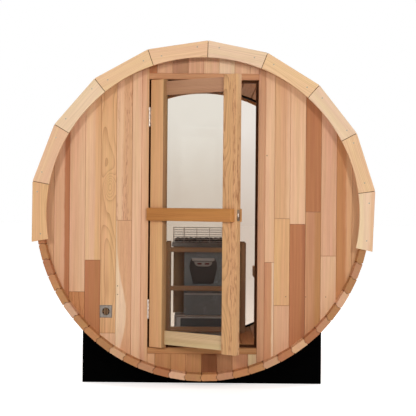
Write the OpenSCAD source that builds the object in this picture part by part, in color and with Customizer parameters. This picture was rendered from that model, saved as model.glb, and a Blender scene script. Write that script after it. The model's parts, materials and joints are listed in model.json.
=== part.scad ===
// Barrel sauna: a staved round cabin on two cradles, with a glazed door that stands ajar.
// Millimetres. X runs to the right, Y from the front to the rear, Z up.
// The origin lies on the ground under the middle of the front cradle.

/* [Barrel] */
// Outside diameter of the barrel, across the flat faces of the staves
barrel_d = 2134; // [1900:1:2400]
// Length of the staves
barrel_len = 2440; // [2200:1:3000]
// Thickness of a stave
stave_t = 42; // [36:1:50]
// Number of staves round the barrel, a multiple of four
stave_n = 64; // [56:4:72]
// How far the rounded bead of a stave reaches into the hollow of the next one
bead_out = 8; // [5:0.5:10]
// Gap left between two staves
stave_gap = 0.4; // [0.3:0.1:0.8]
// Height of the lowest stave above the ground
ground_gap = 50; // [30:1:90]
// How far the end walls stand in from the stave ends
end_recess = 100; // [70:1:130]
// Depth of the groove in the staves that holds the end walls
croze_depth = 8; // [5:0.5:12]

/* [Roof and trim] */
// Boards in the arch trim, and flat panels in the roof behind it
arch_n = 10; // [8:2:10]
// Angle that one board of the arch spans
arch_step = 20.2; // [18:0.1:20.4]
// How far the arch is turned round the barrel, clockwise as seen from the front
arch_turn = 1.2; // [-3:0.1:3]
// Thickness of a roof panel
roof_t = 18; // [15:1:25]
// Thickness of the arch trim in front of the stave ends
trim_t = 25; // [18:1:35]
// How far the curved inner edge of the trim hangs below the inside of the staves
trim_hang = 28; // [10:1:40]
// Gap between two boards of the trim, and between two roof panels
arch_gap = 2; // [1:0.5:5]
// Width of a steel band round the staves
band_w = 32; // [20:1:50]
// Thickness of a steel band
band_t = 1.2; // [0.8:0.1:2]
// Number of steel bands
band_n = 3; // [2:1:4]
// Distance from a cradle to the steel band beside it
band_clear = 110; // [60:5:200]

/* [Cradles] */
// Width of a cradle across the barrel
cradle_w = 1572; // [1300:2:1700]
// Thickness of a cradle along the barrel
cradle_t = 90; // [60:2:120]
// Height of the cradle's shoulders above the ground
cradle_h = 350; // [300:1:380]
// Distance from a stave end to the near face of its cradle
cradle_in = 250; // [150:5:400]

/* [Front wall and door frame] */
// Thickness of the boarded front wall
wall_t = 38; // [30:1:45]
// Width of the doorway between the posts
doorway_w = 708; // [640:1:780]
// Height of the wall boards over the header, at the middle of the doorway
over_door = 119; // [105:1:200]
// Height of the sill's top above the inside of the lowest stave
sill_up = 158; // [150:1:190]
// Width of a door post seen from the front
post_w = 45; // [38:1:60]
// Depth of the posts, the header and the sill
post_d = 89; // [85:1:110]
// How far the posts stand out in front of the wall boards
post_proud = 7; // [3:1:15]
// Height of the header and of the sill
head_t = 38; // [30:1:45]
// Width of the stops that the door closes against
stop_w = 15; // [12:1:25]

/* [Door] */
// Angle that the door stands open at rest
door_ajar = 38; // [0:1:60]
// Gap between the door and the post on the hinge side
hinge_gap = 8; // [8:0.5:10]
// Gap between the door and the post on the latch side
latch_gap = 8; // [8:0.5:12]
// Gap above and below the door
door_clear = 6; // [6:0.5:10]
// Thickness of the stiles
door_t = 45; // [40:1:50]
// Width of a stile
stile_w = 107; // [85:1:120]
// Height of a rail
rail_h = 89; // [75:1:110]
// Thickness of a rail, flush with the back of the stiles
rail_t = 19; // [17:1:24]
// How far the top rail ends below the top of the stiles
rail_drop = 12; // [5:1:20]
// How far the bottom rail ends above the foot of the stiles
rail_lift = 20; // [5:1:30]
// Thickness of the door glass
glass_t = 6; // [4:0.5:8]
// Depth of the groove that holds the glass
glass_in = 12; // [8:1:15]
// Height of the two cross bars
bar_h = 82; // [70:1:95]
// Thickness of the outer cross bar
bar_t = 38; // [25:1:40]
// Thickness of the inner cross bar
inner_bar_t = 19; // [15:1:25]
// Height of the middle of the cross bars above the sill
bar_up = 862; // [800:1:920]
// Length of a hinge
hinge_len = 124; // [100:4:140]
// Radius of a hinge knuckle
knuckle_r = 6; // [5.5:0.1:6.4]
// Radius of a hinge pin
pin_r = 4; // [3:0.1:4.2]
// How far the pin's axis stands in front of the posts
pin_proud = 6.5; // [6.5:0.1:8]
// Thickness of a hinge leaf
leaf_t = 2.5; // [2:0.1:3]
// Depth of a hinge leaf along the post
leaf_d = 34; // [28:1:38]
// Height of the lower hinge's middle above the sill
low_hinge_up = 249; // [200:1:350]
// Distance of the upper hinge's middle below the header
top_hinge_down = 245; // [200:1:350]
// Width of the broken edges on the outer cross bar and the bench nosings
edge_ease = 4; // [1:0.5:8]

/* [Vent] */
// Side of the square vent plate
vent_w = 81; // [70:1:100]
// Radius of the vent's round hole
vent_r = 23.5; // [18:0.5:28]
// Distance of the vent from the middle of the wall
vent_x = 623; // [560:1:700]
// Height of the vent's middle above the ground
vent_z = 481; // [420:1:560]

/* [Rear glass] */
// Thickness of the round rear glass
rear_glass_t = 10; // [6:0.5:12]
// Width of the gasket along the barrel
gasket_w = 26; // [20:1:38]
// How far the gasket shows inside the staves
gasket_show = 35; // [14:1:45]

/* [Benches] */
// Distance of a bench's front edge from the middle of the cabin
bench_x = 414; // [400:1:480]
// Height of the seats above the inside of the lowest stave
bench_up = 583; // [500:1:620]
// Thickness of the front nosing
nosing_t = 38; // [30:1:45]
// Height of the front nosing
nosing_h = 84; // [60:1:95]
// Thickness of a seat slat
slat_t = 27; // [22:1:35]
// Number of seat slats behind the nosing
slat_n = 4; // [3:1:5]
// Gap between two slats
slat_gap = 9; // [5:1:15]
// Thickness of a bench support
support_t = 38; // [30:1:45]

/* [Heater] */
// Distance of the heater's middle to the right of the cabin's middle
heater_x = 25; // [0:1:40]
// Width of the guard round the heater
guard_w = 646; // [600:2:680]
// Depth of the guard from its front to its back
guard_d = 325; // [310:1:360]
// Height of the guard's posts above the inside of the lowest stave
guard_up = 782; // [750:1:850]
// Side of a square guard post
guard_post = 38; // [30:1:45]
// Height of a guard rail
guard_rail = 38; // [30:1:45]
// Thickness of a guard rail
guard_rail_t = 22; // [18:1:28]
// Height of the lowest guard rail above the inside of the lowest stave
guard_low_up = 62; // [55:1:110]
// Height of the middle guard rail above the inside of the lowest stave
guard_mid_up = 391; // [340:1:450]
// How far the top guard rail lies under the tops of the posts
guard_top_down = 42; // [0:1:80]
// Thickness of the board behind the heater
back_t = 22; // [18:1:30]
// How far the board behind the heater ends under the tops of the posts
back_down = 45; // [0:1:90]
// Width of the heater's cabinet
heater_w = 350; // [300:1:400]
// Depth of the heater's cabinet
heater_d = 215; // [190:1:220]
// Height of the heater's cabinet
heater_h = 555; // [520:1:570]
// Width of the shield on the cabinet's front, at its widest
shield_w = 224; // [180:1:250]
// Height of the shield
shield_h = 208; // [160:1:260]
// How far the shield stands out from the cabinet
shield_t = 14; // [8:1:20]
// How far the shield's top lies under the cabinet's top
shield_down = 91; // [60:1:120]
// How far the shield lies to the left of the cabinet's middle
shield_off = 19; // [0:1:30]
// Width of the steel box under the cabinet
base_w = 502; // [450:1:520]
// Height of the steel box's top above the inside of the lowest stave
base_up = 188; // [180:1:200]
// Width of the frame round the sunk plate on the steel box's front
base_frame = 22; // [12:1:30]
// Depth of the sunk plate
base_sink = 6; // [3:1:12]
// Width of the stone tray
tray_w = 550; // [500:1:554]
// Height of the stone tray
tray_h = 34; // [28:1:60]
// Thickness of the tray's sheet
tray_t = 3; // [2:0.5:4]
// Height of the wire cage above the tray's floor
cage_h = 160; // [140:1:180]
// Thickness of the cage's wire
wire_t = 4; // [3:0.5:6]
// Radius of the largest stones
stone_r = 44; // [38:1:46]

/* [Hidden] */
$fn = 96;
// Gap left where one piece seats in or on another
seat = 0.3;
// Gap between the moving door and the stops
swing_gap = 5;
// Radial gap between a hinge pin and its knuckle
pin_gap = 0.05;
// How far a cutter reaches past the face that it cuts
past = 1;

r_out = barrel_d / 2;
r_in = r_out - stave_t;
stave_pitch = 360 / stave_n;
r_corner = r_out / cos(stave_pitch / 2);
axis_z = r_out + ground_gap;
floor_z = axis_z - r_in;
front_y = -(cradle_in + cradle_t / 2);
rear_y = front_y + barrel_len;

// The bead and the hollow are arcs that stop short of the stave's faces
bead_half = stave_t / 2 - 2;
bead_r = (bead_out * bead_out + bead_half * bead_half) / (2 * bead_out);
bead_set = bead_r - bead_out;
r_mid = (r_in + r_out) / 2;

// The bands lie on the staves' corners and the roof panels lie on the bands
band_r = r_corner + seat;
roof_in = band_r + band_t + seat;
roof_out = roof_in + roof_t;
trim_r = r_in - trim_hang;
band_first = cradle_in + cradle_t + band_clear;

wall_y = front_y + end_recess;
wall_r = r_in + croze_depth - seat;
fit_r = r_in - seat;
post_y = wall_y - post_proud;
post_x = doorway_w / 2 + post_w;
sill_z = floor_z + sill_up;
// The doorway is what the sill, the header and the boards over it leave of the barrel's height
doorway_h = 2 * r_in - sill_up - head_t - over_door;
head_z = sill_z + doorway_h;

door_w = doorway_w - hinge_gap - latch_gap;
door_h = doorway_h - 2 * door_clear;
pin_x = -doorway_w / 2 + hinge_gap / 2;
pin_y = post_y - pin_proud;
stop_y = post_y + door_t + swing_gap;
stop_d = post_d - door_t - swing_gap;
rail_y = door_t - rail_t;
glass_y = rail_y + (rail_t - glass_t) / 2;
low_rail_z = door_clear + rail_lift;
top_rail_z = door_clear + door_h - rail_drop - rail_h;
rail_len = door_w - 2 * stile_w;
glass_h = top_rail_z - low_rail_z - rail_h + 2 * glass_in;
bar_short = 12;
inner_bar_from = 60;
inner_bar_short = 3;
knuckle_n = 5;
knuckle_gap = 0.5;
knuckle_len = (hinge_len - (knuckle_n - 1) * knuckle_gap) / knuckle_n;
hinge_ups = [low_hinge_up, doorway_h - top_hinge_down];
catch_h = 70;
catch_w = 29;
catch_t = 2;
roller_r = 6;
roller_h = 22;
roller_out = 2.5;
catch_y = post_y + (door_t - catch_w) / 2;

gasket_y = rear_y - end_recess - gasket_w;
gasket_in = r_in - gasket_show;
rear_glass_y = gasket_y + (gasket_w - rear_glass_t) / 2;
rear_glass_in = 11;

seat_z = floor_z + bench_up;
slat_z = seat_z - slat_t;
slat_from = bench_x + nosing_t + slat_gap;
slat_clear = 3;
slat_to = sqrt(fit_r * fit_r - (axis_z - slat_z) * (axis_z - slat_z)) - slat_clear;
slat_w = (slat_to - slat_from - (slat_n - 1) * slat_gap) / slat_n;
bench_clear = 8;
bench_from = post_y + post_d + bench_clear;
bench_to = gasket_y - bench_clear;
bearer_h = 64;
leg_in = 16;
leg_w = 38;

guard_top = floor_z + guard_up;
guard_to = gasket_y - bench_clear;
guard_from = guard_to - guard_d;
back_y = guard_to - back_t;
heater_y = back_y - heater_d;
base_z = floor_z + base_up;
heater_top = base_z + heater_h;
tray_z = heater_top;
rail_zs = [floor_z + guard_low_up, floor_z + guard_mid_up, guard_top - guard_top_down - guard_rail];
cage_clear = 4;
cage_w = tray_w - 2 * (tray_t + cage_clear);
cage_d = heater_d - 2 * (tray_t + cage_clear);
cage_rows = 6;
cage_cols = 6;
cage_sides = 3;
// The stones lie in one layer, sunk a little into each other
stone_cols = 7;
stone_rows = 3;
stone_clear = 3;
stone_up = 24;
stone_vary = 5;
stone_dx = (cage_w / 2 - wire_t - stone_clear - stone_r) * 2 / (stone_cols - 1);
stone_dy = (cage_d / 2 - wire_t - stone_clear - stone_r) * 2 / (stone_rows - 1);
// The shield narrows to its top and to its foot, with a handle bar along its top
shield_top = shield_w - 40;
shield_foot = shield_w - 62;
shield_wide_up = shield_h * 2 / 3;
handle_h = 24;
handle_t = 20;
vent_plate_t = 2;
damper_t = 12;

// Runs a flat shape drawn in X and Z along the barrel, from one Y to another
module along(y_from, y_to) {
    translate([0, y_to, axis_z]) rotate([90, 0, 0]) linear_extrude(y_to - y_from) children();
}

// A round bar along the barrel's axis
module core(r, y_from, y_to, fn = 192) {
    translate([0, y_to, axis_z]) rotate([90, 0, 0]) cylinder(r = r, h = y_to - y_from, $fn = fn);
}

// Outline of a bar's section with its four corners broken
function eased(w, h) = [
    [edge_ease, 0], [w - edge_ease, 0], [w, edge_ease], [w, h - edge_ease],
    [w - edge_ease, h], [edge_ease, h], [0, h - edge_ease], [0, edge_ease]];

// Angle of one board of the arch, from the top of the barrel
function arch_angle(i) = (i - (arch_n - 1) / 2) * arch_step - arch_turn;

// Places a piece drawn in the closed door's own frame, its origin at the hinge edge's front, at the sill
module on_door() {
    translate([pin_x, pin_y, sill_z])
        rotate([0, 0, -door_ajar])
            translate([hinge_gap / 2, pin_proud, 0]) children();
}

// Middle of the arc on the bead's side of a stave that stands at the top of the barrel
module at_bead() {
    rotate([0, 0, -stave_pitch / 2]) translate([-bead_set - stave_gap / 2, r_mid]) children();
}

// Section of the stave at the top of the barrel: flat faces, a bead on the right and a hollow on the left
module stave_section() {
    half_in = r_in * tan(stave_pitch / 2) - stave_gap / 2;
    half_out = r_out * tan(stave_pitch / 2) - stave_gap / 2;
    difference() {
        union() {
            polygon([[-half_in, r_in], [half_in, r_in], [half_out, r_out], [-half_out, r_out]]);
            intersection() {
                at_bead() circle(r = bead_r);
                rotate([0, 0, -stave_pitch / 2])
                    translate([-stave_gap / 2 - past, r_in]) square([bead_out + 2 * past, stave_t]);
            }
        }
        rotate([0, 0, stave_pitch]) at_bead() circle(r = bead_r + stave_gap);
    }
}

// A quarter of the staves, from the first one on, clockwise from the top as seen from the front
module staves(first) {
    for (i = [first : first + stave_n / 4 - 1])
        difference() {
            along(front_y, rear_y) rotate([0, 0, -(i + 0.5) * stave_pitch]) stave_section();
            core(r_in + croze_depth, wall_y - seat, wall_y + wall_t + seat);
            core(r_in + croze_depth, gasket_y - seat, gasket_y + gasket_w + seat);
        }
}

module staves_top() {
    color("#c8966b") staves(-stave_n / 8);
}

module staves_right() {
    color("#c8966b") staves(stave_n / 8);
}

module staves_bottom() {
    color("#c8966b") staves(3 * stave_n / 8);
}

module staves_left() {
    color("#c8966b") staves(5 * stave_n / 8);
}

// Wedge under one flat side of the arch, cut back by half a gap at both joints
module arch_wedge(apothem) {
    cut_back = arch_gap / (2 * sin(arch_step / 2));
    half = (apothem - cut_back) * tan(arch_step / 2);
    polygon([[0, cut_back], [half, apothem], [-half, apothem]]);
}

module roof_panels() {
    half_in = roof_in * tan(arch_step / 2) - arch_gap / 2;
    half_out = roof_out * tan(arch_step / 2) - arch_gap / 2;
    color("#b98457")
        for (i = [0 : arch_n - 1])
            along(front_y, rear_y) rotate([0, 0, arch_angle(i)])
                polygon([
                    [-half_in, roof_in], [half_in, roof_in],
                    [half_out, roof_out], [-half_out, roof_out]]);
}

// Ten boards with straight outer edges and a curved inner edge
module arch_trim(y_from) {
    for (i = [0 : arch_n - 1])
        along(y_from, y_from + trim_t) rotate([0, 0, arch_angle(i)])
            difference() {
                arch_wedge(roof_out);
                circle(r = trim_r, $fn = 192);
            }
}

module front_arch_trim() {
    color("#e0b384") arch_trim(front_y - trim_t);
}

module rear_arch_trim() {
    color("#e0b384") arch_trim(rear_y);
}

module steel_bands() {
    color("#b9bcc0")
        for (i = [0 : band_n - 1]) {
            y_from = front_y + band_first + i * (barrel_len - 2 * band_first - band_w) / (band_n - 1);
            difference() {
                core(band_r + band_t, y_from, y_from + band_w);
                core(band_r, y_from - past, y_from + band_w + past);
            }
        }
}

// Block with a hollow top that the barrel lies in
module cradle(y_from) {
    along(y_from, y_from + cradle_t)
        difference() {
            translate([-cradle_w / 2, -axis_z]) square([cradle_w, cradle_h]);
            circle(r = r_corner + seat, $fn = 192);
        }
}

module front_cradle() {
    color("#1b1b1c") cradle(front_y + cradle_in);
}

module rear_cradle() {
    color("#1b1b1c") cradle(rear_y - cradle_in - cradle_t);
}

// The part of the front wall that lies in a box, its rim set in the groove of the staves
module wall_part(x_from, x_to, z_from, z_to) {
    intersection() {
        core(wall_r, wall_y, wall_y + wall_t);
        translate([x_from, wall_y - past, z_from]) cube([x_to - x_from, wall_t + 2 * past, z_to - z_from]);
    }
}

module front_wall_left() {
    color("#d7a377")
        difference() {
            wall_part(-r_out, -post_x, 0, axis_z + r_out);
            translate([-vent_x, wall_y - past, vent_z])
                rotate([-90, 0, 0]) cylinder(r = vent_r, h = wall_t + 2 * past);
        }
}

module front_wall_right() {
    color("#d7a377") wall_part(post_x, r_out, 0, axis_z + r_out);
}

module front_wall_over_door() {
    color("#d7a377") wall_part(-doorway_w / 2, doorway_w / 2, head_z + head_t, axis_z + r_out);
}

module front_wall_under_door() {
    color("#d7a377") wall_part(-doorway_w / 2, doorway_w / 2, 0, sill_z - head_t);
}

// Full-height post, its ends cut to the inside of the staves
module door_post(x_from) {
    intersection() {
        translate([x_from, post_y, 0]) cube([post_w, post_d, axis_z + r_out]);
        core(fit_r, post_y - past, post_y + post_d + past);
    }
}

module left_door_post() {
    color("#d9a583")
        difference() {
            door_post(-post_x);
            for (up = hinge_ups)
                translate([-doorway_w / 2 - leaf_t, post_y - past, sill_z + up - hinge_len / 2 - seat])
                    cube([leaf_t + past, leaf_d - pin_proud + past + seat, hinge_len + 2 * seat]);
        }
}

module right_door_post() {
    color("#d9a583")
        difference() {
            door_post(doorway_w / 2);
            translate([doorway_w / 2 - past, catch_y - seat, sill_z + bar_up - catch_h / 2 - seat])
                cube([catch_t + past, catch_w + 2 * seat, catch_h + 2 * seat]);
        }
}

module door_header() {
    color("#b9825f") translate([-doorway_w / 2, post_y, head_z]) cube([doorway_w, post_d, head_t]);
}

module door_sill() {
    color("#a5714f") translate([-doorway_w / 2, post_y, sill_z - head_t]) cube([doorway_w, post_d, head_t]);
}

// Strips that the door closes against; the latch side leaves a space for the inner bar
module door_stops() {
    bar_low = bar_up - bar_h / 2 - swing_gap - past;
    bar_high = bar_up + bar_h / 2 + swing_gap + past;
    across = doorway_w - 2 * (stop_w + seat);
    color("#b07d59") {
        translate([-doorway_w / 2, stop_y, sill_z]) cube([stop_w, stop_d, doorway_h]);
        translate([doorway_w / 2 - stop_w, stop_y, sill_z]) cube([stop_w, stop_d, bar_low]);
        translate([doorway_w / 2 - stop_w, stop_y, sill_z + bar_high])
            cube([stop_w, stop_d, doorway_h - bar_high]);
        for (z = [sill_z, head_z - stop_w])
            translate([-across / 2, stop_y, z]) cube([across, stop_d, stop_w]);
    }
}

module vent_plate() {
    color("#b4b6b8")
        translate([-vent_x, wall_y, vent_z]) rotate([90, 0, 0])
            difference() {
                translate([-vent_w / 2, -vent_w / 2, 0]) cube([vent_w, vent_w, vent_plate_t]);
                translate([0, 0, -past]) cylinder(r = vent_r, h = vent_plate_t + 2 * past);
            }
}

// Wooden shutter on the inside of the wall, behind the vent
module vent_damper() {
    color("#c29068")
        translate([-vent_x - vent_w / 2, wall_y + wall_t, vent_z - vent_w / 2])
            cube([vent_w, damper_t, vent_w]);
}

module rear_glass() {
    color("#cfe0dc", 0.3) core(gasket_in + rear_glass_in, rear_glass_y, rear_glass_y + rear_glass_t);
}

// Rubber ring in the groove of the staves, with a slot for the glass
module rear_gasket() {
    color("#161616")
        difference() {
            core(r_in + croze_depth - seat, gasket_y, gasket_y + gasket_w);
            core(gasket_in, gasket_y - past, gasket_y + gasket_w + past);
            core(gasket_in + rear_glass_in + seat, rear_glass_y - seat, rear_glass_y + rear_glass_t + seat);
        }
}

// Nosing and slats of the bench on the right
module bench_seat() {
    along(bench_from, bench_to)
        translate([bench_x, seat_z - nosing_h - axis_z]) polygon(eased(nosing_t, nosing_h));
    for (i = [0 : slat_n - 1])
        translate([slat_from + i * (slat_w + slat_gap), bench_from, slat_z])
            cube([slat_w, bench_to - bench_from, slat_t]);
}

module right_bench_seat() {
    color("#c99a6e") bench_seat();
}

module left_bench_seat() {
    color("#c99a6e") mirror([1, 0, 0]) bench_seat();
}

// Three frames under the bench on the right, cut to the inside of the staves
module bench_supports() {
    leg_x = bench_x + leg_in;
    span = (bench_to - bench_from - support_t) / 2;
    for (i = [0 : 2])
        along(bench_from + i * span, bench_from + i * span + support_t)
            intersection() {
                circle(r = fit_r, $fn = 192);
                translate([0, -axis_z]) union() {
                    translate([bench_x + nosing_t, slat_z - bearer_h]) square([r_out, bearer_h]);
                    translate([leg_x, 0]) square([leg_w, seat_z - nosing_h]);
                }
            }
}

module right_bench_supports() {
    color("#b98a60") bench_supports();
}

module left_bench_supports() {
    color("#b98a60") mirror([1, 0, 0]) bench_supports();
}

module heater_backboard() {
    inside = guard_w - 2 * guard_post;
    color("#8a5c3e")
        translate([heater_x - inside / 2, back_y, base_z])
            cube([inside, back_t, guard_top - back_down - base_z]);
}

// Cabinet with a shield on its front
module heater_cabinet() {
    color("#4a4a4b") {
        translate([heater_x - heater_w / 2, heater_y, base_z]) cube([heater_w, heater_d, heater_h]);
        translate([heater_x - shield_off, heater_y + past, heater_top - shield_down - shield_h])
            rotate([90, 0, 0]) {
                linear_extrude(shield_t + past)
                    polygon([
                        [-shield_foot / 2, 0], [shield_foot / 2, 0], [shield_w / 2, shield_wide_up],
                        [shield_top / 2, shield_h], [-shield_top / 2, shield_h],
                        [-shield_w / 2, shield_wide_up]]);
                translate([-shield_top / 2, shield_h - handle_h, 0])
                    cube([shield_top, handle_h, shield_t + handle_t + past]);
            }
    }
}

// Steel box that stands on the bottom staves and carries the cabinet, with a sunk plate in its front
module heater_base_box() {
    color("#9a9c9e")
        intersection() {
            difference() {
                translate([heater_x - base_w / 2, heater_y, 0]) cube([base_w, heater_d, base_z]);
                translate([heater_x - base_w / 2 + base_frame, heater_y - past, floor_z + 2 * base_frame])
                    cube([base_w - 2 * base_frame, base_sink + past, base_up - 3 * base_frame]);
            }
            core(fit_r, heater_y - past, heater_y + heater_d + past);
        }
}

// Open pan on top of the cabinet
module stone_tray() {
    color("#c2c4c6")
        translate([heater_x - tray_w / 2, heater_y, tray_z])
            difference() {
                cube([tray_w, heater_d, tray_h]);
                translate([tray_t, tray_t, tray_t])
                    cube([tray_w - 2 * tray_t, heater_d - 2 * tray_t, tray_h]);
            }
}

// One layer of rounded stones that lie in the tray, flat underneath
module heater_stones() {
    color("#3c3a38")
        translate([heater_x, heater_y + heater_d / 2, tray_z + tray_t])
            difference() {
                for (i = [0 : stone_cols - 1], j = [0 : stone_rows - 1])
                    translate([
                        (i - (stone_cols - 1) / 2) * stone_dx, (j - (stone_rows - 1) / 2) * stone_dy,
                        stone_up + stone_vary * sin(151 * (i + 2 * j))])
                        sphere(r = stone_r - stone_vary * abs(sin(97 * (3 * i + j))));
                translate([-cage_w / 2, -cage_d / 2, -2 * stone_r]) cube([cage_w, cage_d, 2 * stone_r]);
            }
}

// One flat side of the wire cage, its foot at the origin and running along X
module cage_side(width, cols) {
    for (k = [0 : cage_rows - 1])
        translate([0, 0, k * (cage_h - wire_t) / (cage_rows - 1)]) cube([width, wire_t, wire_t]);
    for (i = [0 : cols - 1])
        translate([i * (width - wire_t) / (cols - 1), 0, 0]) cube([wire_t, wire_t, cage_h]);
}

// Wire cage that stands in the tray round the stones, open at the top
module stone_cage() {
    depth = cage_d - 2 * (wire_t + seat);
    color("#8f9193")
        translate([heater_x, heater_y + heater_d / 2, tray_z + tray_t]) {
            for (y = [-cage_d / 2, cage_d / 2 - wire_t])
                translate([-cage_w / 2, y, 0]) cage_side(cage_w, cage_cols);
            for (x = [-cage_w / 2 + wire_t, cage_w / 2])
                translate([x, -depth / 2, 0]) rotate([0, 0, 90]) cage_side(depth, cage_sides);
        }
}

module guard_posts() {
    color("#a06f4b")
        for (x = [heater_x - guard_w / 2, heater_x + guard_w / 2 - guard_post],
             y = [guard_from, guard_to - guard_post])
            intersection() {
                translate([x, y, 0]) cube([guard_post, guard_post, guard_top]);
                core(fit_r, guard_from - past, guard_to + past);
            }
}

// Three rails across the front of the guard and three along each side
module guard_rails() {
    inside_w = guard_w - 2 * guard_post;
    inside_d = guard_d - 2 * guard_post;
    inset = (guard_post - guard_rail_t) / 2;
    color("#a06f4b")
        for (z = rail_zs)
            intersection() {
                union() {
                    translate([heater_x - inside_w / 2, guard_from + inset, z])
                        cube([inside_w, guard_rail_t, guard_rail]);
                    for (x = [-guard_w / 2 + inset, guard_w / 2 - inset - guard_rail_t])
                        translate([heater_x + x, guard_from + guard_post, z])
                            cube([guard_rail_t, inside_d, guard_rail]);
                }
                core(fit_r, guard_from - past, guard_to + past);
            }
}

// One knuckle of a hinge, counted from below, with the web that joins it to its leaf
module knuckle(k, side) {
    translate([0, 0, k * (knuckle_len + knuckle_gap)]) {
        cylinder(r = knuckle_r, h = knuckle_len);
        translate([side > 0 ? hinge_gap / 2 : -hinge_gap / 2 - leaf_t, 0, 0])
            cube([leaf_t, knuckle_r + past, knuckle_len]);
    }
}

// Leaf behind the knuckles, let into the wood
module hinge_leaf(side) {
    translate([side > 0 ? hinge_gap / 2 : -hinge_gap / 2 - leaf_t, knuckle_r + knuckle_gap, 0])
        cube([leaf_t, leaf_d - knuckle_r - knuckle_gap, hinge_len]);
}

// Leaves on the post, with the pins
module hinge_frame_leaves() {
    color("#c3c5c7")
        for (up = hinge_ups)
            translate([pin_x, pin_y, sill_z + up - hinge_len / 2]) {
                for (k = [0 : 2 : knuckle_n - 1])
                    knuckle(k, -1);
                cylinder(r = pin_r, h = hinge_len);
                hinge_leaf(-1);
            }
}

// Leaves on the door, with bores for the pins
module hinge_door_leaves() {
    color("#c3c5c7")
        for (up = hinge_ups)
            translate([pin_x, pin_y, sill_z + up - hinge_len / 2]) rotate([0, 0, -door_ajar])
                difference() {
                    union() {
                        for (k = [1 : 2 : knuckle_n - 2])
                            knuckle(k, 1);
                        hinge_leaf(1);
                    }
                    translate([0, 0, -past]) cylinder(r = pin_r + pin_gap, h = hinge_len + 2 * past);
                }
}

// Keeper for the catch, let into the latch post
module door_strike() {
    color("#8d8f92")
        translate([doorway_w / 2, catch_y, sill_z + bar_up - catch_h / 2])
            cube([catch_t, catch_w, catch_h]);
}

// A stile with the groove for the glass on the side given
module stile(x_from, groove_x) {
    difference() {
        translate([x_from, 0, door_clear]) cube([stile_w, door_t, door_h]);
        translate([groove_x, glass_y - seat, low_rail_z + rail_h - glass_in - seat])
            cube([glass_in + past, glass_t + 2 * seat, glass_h + 2 * seat]);
    }
}

module door_left_stile() {
    color("#c98f5f")
        on_door() difference() {
            stile(0, stile_w - glass_in);
            for (up = hinge_ups)
                translate([-past, -past, up - hinge_len / 2 - seat])
                    cube([leaf_t + past, leaf_d - pin_proud + past + seat, hinge_len + 2 * seat]);
        }
}

module door_right_stile() {
    color("#d2a06a")
        on_door() difference() {
            stile(door_w - stile_w, door_w - stile_w - past);
            translate([door_w - catch_t, (door_t - catch_w) / 2 - seat, bar_up - catch_h / 2 - seat])
                cube([catch_t + past, catch_w + 2 * seat, catch_h + 2 * seat]);
            translate([
                door_w - roller_r * 2 - seat, door_t / 2 - roller_r - seat, bar_up - roller_h / 2 - seat])
                cube([roller_r * 2 + past, 2 * roller_r + 2 * seat, roller_h + 2 * seat]);
        }
}

module door_top_rail() {
    color("#a87a5c")
        on_door() difference() {
            translate([stile_w, rail_y, top_rail_z]) cube([rail_len, rail_t, rail_h]);
            translate([stile_w - past, glass_y - seat, top_rail_z - past])
                cube([rail_len + 2 * past, glass_t + 2 * seat, glass_in + past + seat]);
        }
}

module door_bottom_rail() {
    color("#d8bf93")
        on_door() difference() {
            translate([stile_w, rail_y, low_rail_z]) cube([rail_len, rail_t, rail_h]);
            translate([stile_w - past, glass_y - seat, low_rail_z + rail_h - glass_in - seat])
                cube([rail_len + 2 * past, glass_t + 2 * seat, glass_in + past + seat]);
        }
}

module door_glass() {
    color("#d5e4e0", 0.3)
        on_door() translate([stile_w - glass_in + seat, glass_y, low_rail_z + rail_h - glass_in])
            cube([rail_len + 2 * glass_in - 2 * seat, glass_t, glass_h]);
}

module door_outer_bar() {
    color("#d0904f")
        on_door() translate([0, -bar_t, bar_up - bar_h / 2])
            rotate([90, 0, 90]) linear_extrude(door_w - bar_short) polygon(eased(bar_t, bar_h));
}

module door_inner_bar() {
    color("#c98f5a")
        on_door() translate([inner_bar_from, door_t, bar_up - bar_h / 2])
            cube([door_w - inner_bar_from - inner_bar_short, inner_bar_t, bar_h]);
}

// Roller catch let into the free edge of the door
module door_catch() {
    color("#8d8f92")
        on_door() {
            translate([door_w - catch_t, (door_t - catch_w) / 2, bar_up - catch_h / 2])
                cube([catch_t, catch_w, catch_h]);
            translate([door_w - roller_r + roller_out, door_t / 2, bar_up - roller_h / 2])
                cylinder(r = roller_r, h = roller_h);
        }
}

staves_top();
staves_left();
staves_right();
staves_bottom();
roof_panels();
steel_bands();
front_arch_trim();
rear_arch_trim();
front_cradle();
rear_cradle();
front_wall_left();
front_wall_right();
front_wall_over_door();
front_wall_under_door();
left_door_post();
right_door_post();
door_header();
door_sill();
door_stops();
vent_plate();
vent_damper();
rear_glass();
rear_gasket();
left_bench_seat();
right_bench_seat();
left_bench_supports();
right_bench_supports();
heater_backboard();
heater_cabinet();
heater_base_box();
stone_tray();
heater_stones();
stone_cage();
guard_posts();
guard_rails();
hinge_frame_leaves();
door_strike();
door_left_stile();
door_right_stile();
door_top_rail();
door_bottom_rail();
door_glass();
door_outer_bar();
door_inner_bar();
hinge_door_leaves();
door_catch();
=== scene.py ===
"""Looks of a barrel sauna: planed cedar boards, glass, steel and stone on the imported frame."""
import functools
import json
import logging
import math
import random
from dataclasses import dataclass, field
from enum import Enum
from typing import ClassVar, Sequence

import bmesh
import bpy
from mathutils import Matrix, Vector


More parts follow.
